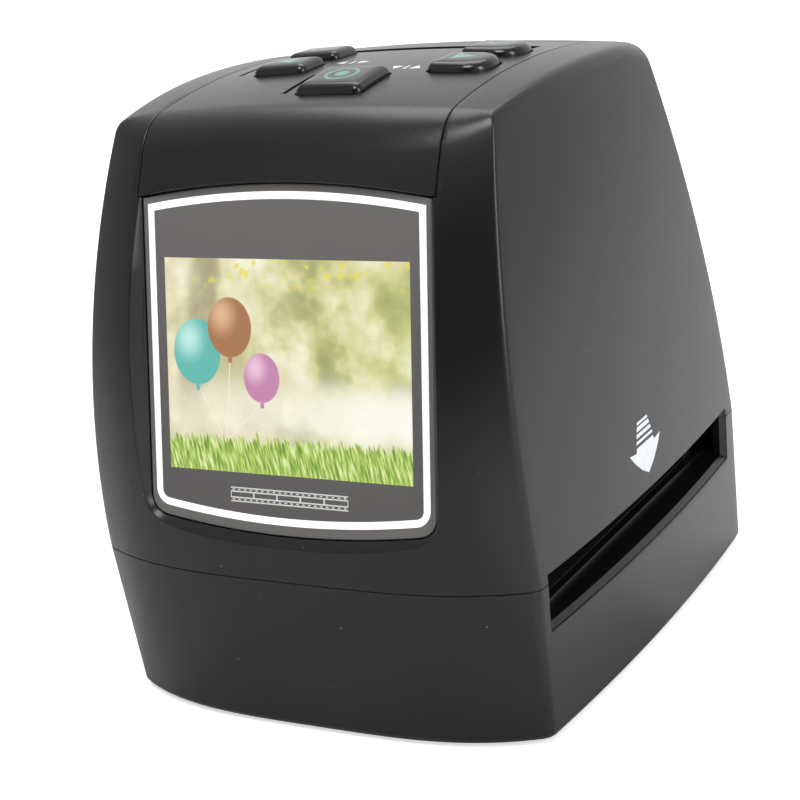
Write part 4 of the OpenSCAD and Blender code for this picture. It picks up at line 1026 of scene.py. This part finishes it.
def sign(button, x, y):
    # two arrows, a ring around a dot, a power sign or a tick, in millimetres from the cap's middle
    if button == "left":
        return ((x + 2.4) * 0.5 - abs(y)).over(0, 0.06) * x.under(1.5, 0.06)
    if button == "right":
        return ((1.9 - x) * 0.5 - abs(y)).over(0, 0.06) * x.over(-2.0, 0.06)
    if button == "ok":
        short = abs(x + y + 1.6).under(0.36, 0.06) * abs(x + 1.3).under(0.85, 0.06)
        long = abs(x - y * 0.9 - 0.55).under(0.36, 0.06) * abs(y - 0.35).under(1.75, 0.06)
        return short.most(long)
    from_middle = (x * x + y * y).root()
    if button == "scan":
        return abs(from_middle - 2.7).under(0.27, 0.06).most(from_middle.under(1.2, 0.06))
    ring = abs(from_middle - 1.7).under(0.22, 0.06) * (abs(x) - y * 0.6).over(0, 0.06)
    return ring.most(abs(x).under(0.22, 0.06) * abs(y - 1.2).under(1.1, 0.06))


for button, (cx, cy, *_) in BUTTONS.items():
    piece = cap(button)
    finish_shape(piece, button, "button_black", button + "_button", smooth=32)
    finish, colour = smooth_black("cap_" + button)
    x, y, z = finish.axes()
    mark = sign(button, x * 1000 - cx, y * 1000 - cy)
    ink = tint("#a8453f" if button == "power" else "#4f9f82")
    top_only = z.over((crown(cx, cy) + 1.02) * MM, 0.0002)
    finish.feed("Base Color", (mark * top_only * 0.78).mix(colour, ink))
    finish.on(piece)

# ---- switches ----
# Five small push switches stand on the button board, with grey bodies and black plungers,
# and the board hangs on four screws under the top strip.


def dress(finish, *names):
    finish.on(*[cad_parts[name] for name in names])


def plain(name, dark, light, rough, scale=120, grain=0.00001, **constant):
    # a moulded or painted surface with a little cloudiness and a fine grain
    finish = Finish(name, **constant)
    cloud = finish.noise(scale, 3)
    fine = finish.noise(3000, 2)
    finish.feed("Base Color", cloud.ramp((0.3, tint(dark)), (0.7, tint(light))))
    finish.feed("Roughness", cloud * 0.1 + (rough - 0.05))
    finish.bump(fine, 0.4, grain)
    return finish


inner_black = plain("inner_black", "#141414", "#1a1a1b", rough=0.5)
dress(plain("switch_grey", "#85878a", "#939598", rough=0.45), "switch_bodies")
dress(inner_black, *[button + "_plunger" for button in BUTTONS])


def board_finish(name, mask_colour, trace_colour):
    # solder mask over copper traces that run at right angles, with tinned pads
    finish = Finish(name, IOR=1.5)
    x, y = finish.axes()[:2]
    jog = finish.noise(180, 0)
    row = ((y + jog * 0.004) * 700).math("FRACT")
    column = ((x + jog * 0.004) * 620).math("FRACT")
    lines = row.over(0.72, 0.05) * jog.over(0.5, 0.01)
    lines = lines.most(column.over(0.74, 0.05) * jog.under(0.5, 0.01))
    spots = finish.node("ShaderNodeTexVoronoi", {}, {"Vector": finish.place, "Scale": 420.0}, 0)
    pads = spots.under(0.16, 0.03)
    colour = (lines * 0.6).mix(tint(mask_colour), tint(trace_colour))
    finish.feed("Base Color", pads.mix(colour, tint("#b9bab4")))
    finish.feed("Roughness", 0.36 - pads * 0.1)
    finish.bump(lines + pads, 0.5, 0.00003)
    return finish


green_board = board_finish("green_board", "#1d5a35", "#2f7a4a")
dress(green_board, "button_board", "main_board", "sensor_board")

# ---- film channel ----
# Two black guides, one below and one above the film holder, screwed together through their
# rails. The lower one carries the film window, and the edges are slightly rounded.


def eased(node, name, slot, finish, width):
    # a copy of a plain solid with its edges rounded
    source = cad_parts[node]
    piece = bpy.data.objects.new(name, source.data.copy())
    bpy.context.scene.collection.objects.link(piece)
    bpy.ops.object.select_all(action="DESELECT")
    piece.select_set(True)
    bpy.context.view_layer.objects.active = piece
    bpy.ops.object.mode_set(mode="EDIT")
    bpy.ops.mesh.select_all(action="SELECT")
    bpy.ops.mesh.remove_doubles(threshold=1e-6)
    bpy.ops.mesh.dissolve_limited(angle_limit=math.radians(1))
    bpy.ops.object.mode_set(mode="OBJECT")
    step = piece.modifiers.new("eased", "BEVEL")
    step.width, step.segments, step.angle_limit = width * MM, 2, math.radians(50)
    bpy.ops.object.modifier_apply(modifier=step.name)
    finish_shape(piece, "housing", slot, node, smooth=30)
    finish.on(piece)


eased("film_guide_lower", "guide_lower", "inner_black", inner_black, width=0.2)
eased("film_guide_upper", "guide_upper", "inner_black", inner_black, width=0.2)

# ---- light under the film ----
# A white moulded box stands on the floor of the base. It holds a board of warm white LEDs
# under an opal sheet, close below the film window.
dress(plain("white_plastic", "#e6e6e3", "#eeeeec", rough=0.5), "light_box")
opal = plain("opal_sheet", "#eceff0", "#f6f7f8", rough=0.35, Subsurface_Weight=0.2)
dress(opal, "diffuser")
dress(board_finish("white_board", "#dcdcd6", "#ebebe6"), "led_board")
dress(plain("led_yellow", "#e9cf62", "#f4e08a", rough=0.3, scale=600), "leds")

# ---- camera over the film ----
# A black tower carries a lens barrel that looks down through the window, with the image
# sensor's board screwed on top.
dress(inner_black, "lens_tower", "lens_barrel")
glass = Finish("coated_glass", Roughness=0.03, IOR=1.52)
x, y = glass.axes()[:2]
from_middle = (x * x + y * y).root() * 160
glass.feed("Base Color", from_middle.ramp((0, tint("#2b3350")), (0.6, tint("#3d3560")), (1, tint("#1a2233"))))
dress(glass, "lens_glass")
chip = Finish("sensor_glass", Roughness=0.12, Metallic=0.2)
x, y = chip.axes()[:2]
active = abs(x).under(0.0034, 0.0001) * abs(y).under(0.0026, 0.0001)
chip.feed("Base Color", active.mix(tint("#2a2a2c"), tint("#3a4a63")))
dress(chip, "sensor_chip")

# ---- electronics ----
# The main board stands on the upper film guide and carries the chips and the sockets,
# which look out of three openings in the back.
dress(plain("chip_black", "#19191a", "#202022", rough=0.4, scale=900), "board_chips")
dress(plain("display_black", "#15171a", "#1b1e22", rough=0.3), "lcd_module")


def metal(name, dark, light, rough, stretch):
    # rolled or plated metal with fine lines along one axis
    finish = Finish(name, Metallic=1.0)
    x, y, z = finish.axes()
    lines = finish.noise(900, 3, finish.joined(x * stretch[0], y * stretch[1], z * stretch[2]))
    finish.feed("Base Color", lines.ramp((0.3, tint(dark)), (0.7, tint(light))))
    finish.feed("Roughness", lines * 0.14 + rough)
    finish.bump(lines, 0.3, 0.000006)
    return finish


sheet_steel = metal("sheet_steel", "#9b9da0", "#b6b8ba", rough=0.24, stretch=(0.1, 1, 1))
tinned = metal("tinned_steel", "#b4b5b8", "#cbccce", rough=0.2, stretch=(0.15, 1, 1))
dress(sheet_steel, "lcd_bracket")
eased("sd_socket", "card_socket", "socket_steel", tinned, width=0.12)
eased("usb_socket", "lead_socket", "socket_steel", tinned, width=0.1)
eased("av_socket", "video_socket", "socket_black", inner_black, width=0.15)
dress(plain("connector_cream", "#d8d2bd", "#e4dfcb", rough=0.45), "cable_sockets")

# ---- cables inside ----
# Three flat amber ribbons and one red pair join the boards, the display and the LEDs. They
# end in sockets on the main board.


def ribbon_finish(name, dark, light, pitch):
    # thin conductors side by side across the ribbon
    finish = Finish(name, Roughness=0.3)
    x = finish.axes()[0]
    wires = abs((x * pitch).math("FRACT") - 0.5)
    finish.feed("Base Color", wires.over(0.2, 0.12).mix(tint(dark), tint(light)))
    finish.bump(wires, 0.4, 0.00004)
    return finish


flex = ribbon_finish("flex_amber", "#8a5a1c", "#c98a35", pitch=1400)
dress(flex, "lcd_cable", "sensor_cable", "button_cable")
dress(ribbon_finish("cable_red", "#8c1a16", "#b52a22", pitch=650), "led_cable")

# ---- fixings and feet ----
# Zinc-plated screws hold the boards, the guides and the two halves of the case together, and
# four rubber feet are glued in recesses of the base.
plated = metal("plated_steel", "#8d8f92", "#aeb0b3", rough=0.26, stretch=(1, 1, 0.2))
SCREWED = ("case", "guide", "board", "tower", "sensor", "bracket", "button_board")
dress(plated, *[place + "_screws" for place in SCREWED])
rubber = plain("foot_rubber", "#161616", "#1d1d1d", rough=0.75, grain=0.00003)
eased("rubber_feet", "feet", "rubber", rubber, width=0.2)

# ---- studio ----
# A pale sweep under and around the unit, three soft lamps and a pale room that is dim towards
# the camera.
bpy.ops.object.select_all(action="DESELECT")
bpy.ops.mesh.primitive_grid_add(x_subdivisions=4, y_subdivisions=4, size=6, location=(0, 0, 0))
floor = bpy.context.object
floor.name = "floor"
# a hair below the feet
bpy.ops.object.mode_set(mode="EDIT")
bpy.ops.mesh.select_all(action="SELECT")
bpy.ops.transform.translate(value=(0, 0, -0.00001))
bpy.ops.object.mode_set(mode="OBJECT")
sweep = Finish("pale_sweep", Roughness=0.9)
sweep.shader.inputs["Base Color"].default_value = (0.8, 0.8, 0.8, 1)


def ray_kinds(tree):
    # rays straight from the camera, mirrored ones, and those that came through something clear
    rays = tree.nodes.new("ShaderNodeLightPath")
    return [Value(tree, rays.outputs[f"Is {kind} Ray"]) for kind in ("Camera", "Glossy", "Transmission")]


direct, glossy, through = ray_kinds(sweep.tree)
mirrored = glossy.most(through)
glow_at = {"Color": (1, 1, 1, 1), "Strength": direct * 0.62 + mirrored * 0.15}
glow = sweep.node("ShaderNodeEmission", {}, glow_at)
matte = Value(sweep.tree, sweep.shader.outputs[0])
lit = sweep.node("ShaderNodeAddShader", {}, {0: matte, 1: glow})
# in mirrored rays the sweep is dimmer in front of the unit, towards the camera
fx, fy = sweep.axes()[:2]
near = (fy - fx * 0.45 + 0.01).under(0, 0.014) * fx.under(0.06, 0.03)
shade = sweep.node("ShaderNodeEmission", {}, {"Color": (0, 0, 0, 1), "Strength": 0.0})
lit = sweep.node("ShaderNodeMixShader", {}, {0: near * mirrored * 0.36, 1: lit, 2: shade})
both = sweep.node("ShaderNodeMixShader", {}, {0: direct.most(mirrored), 1: matte, 2: lit})
sweep.tree.links.new(both.socket, sweep.tree.nodes["Material Output"].inputs["Surface"])
sweep.on(floor)

world = bpy.data.worlds.new("room")
bpy.context.scene.world = world
world.use_nodes = True
room = Value(world.node_tree, None)
direction = room.node("ShaderNodeTexCoord", {}, {}, 0)
parts = world.node_tree.nodes.new("ShaderNodeSeparateXYZ")
world.node_tree.links.new(direction.socket, parts.inputs[0])
dx, dy, dz = [Value(world.node_tree, s) for s in parts.outputs]
# the room is dim towards the camera and pale elsewhere, and seen or through glass it is white
toward = dx * 0.12 - dy * 0.92 + dz * 0.37
level = toward.over(-0.35, 0.7) * -0.42 + toward.over(0.3, 0.6) * -0.33
level = level + toward.over(0.86, 0.22) * -0.28 + 1.05
level = level + toward.over(0.66, 0.1) * toward.under(0.9, 0.08) * 0.25
direct, glossy, through = ray_kinds(world.node_tree)
strength = level.most(direct.most(through))
ground = world.node_tree.nodes["Background"]
world.node_tree.links.new(strength.socket, ground.inputs["Strength"])
ground.inputs["Color"].default_value = (1, 1, 1, 1)

# the camera: its direction from the unit and its roll
AZIMUTH, ELEVATION, ROLL = (math.radians(a) for a in (31.7175, 18.5337, -7.7935))
# the place it looks at, in millimetres, and its distance from there, in metres
AIM, DISTANCE = (-4.389, 2.1, 41.165), 0.36647
flat_back = math.cos(ELEVATION)
back = Vector((math.sin(AZIMUTH) * flat_back, -math.cos(AZIMUTH) * flat_back, math.sin(ELEVATION)))
right = Vector((math.cos(AZIMUTH), math.sin(AZIMUTH), 0))
above = back.cross(right)
across = math.cos(ROLL) * right + math.sin(ROLL) * above
upward = -math.sin(ROLL) * right + math.cos(ROLL) * above
spot = Vector(AIM) * MM + back * DISTANCE
camera = bpy.data.objects.new("camera", bpy.data.cameras.new("camera"))
bpy.context.scene.collection.objects.link(camera)
turned = Matrix((across, upward, back)).transposed().to_4x4()
camera.matrix_world = Matrix.Translation(spot) @ turned
camera.data.lens, camera.data.sensor_width = 92.15, 36
camera.data.clip_start, camera.data.clip_end = 0.01, 20
bpy.context.scene.camera = camera


def soft_light(name, place, target, size, power):
    lamp = bpy.data.lights.new(name, "AREA")
    lamp.shape, lamp.size, lamp.size_y, lamp.energy = "RECTANGLE", size[0], size[1], power
    holder = bpy.data.objects.new(name, lamp)
    bpy.context.scene.collection.objects.link(holder)
    holder.location = place
    holder.rotation_euler = (Vector(target) - Vector(place)).to_track_quat("-Z", "Y").to_euler()
    holder.visible_camera = False


soft_light("overhead", place=(-0.11, 0.27, 0.77), target=(0, 0, 0.05), size=(0.55, 0.5), power=3.0)
soft_light("front_key", place=(0.02, -0.36, 0.75), target=(0, 0, 0.06), size=(0.32, 0.26), power=2.8)
soft_light("right_edge", place=(0.72, -0.29, 0.38), target=(0.04, -0.04, 0.08), size=(0.22, 0.5), power=2.6)

bpy.context.scene.view_settings.view_transform = "Standard"
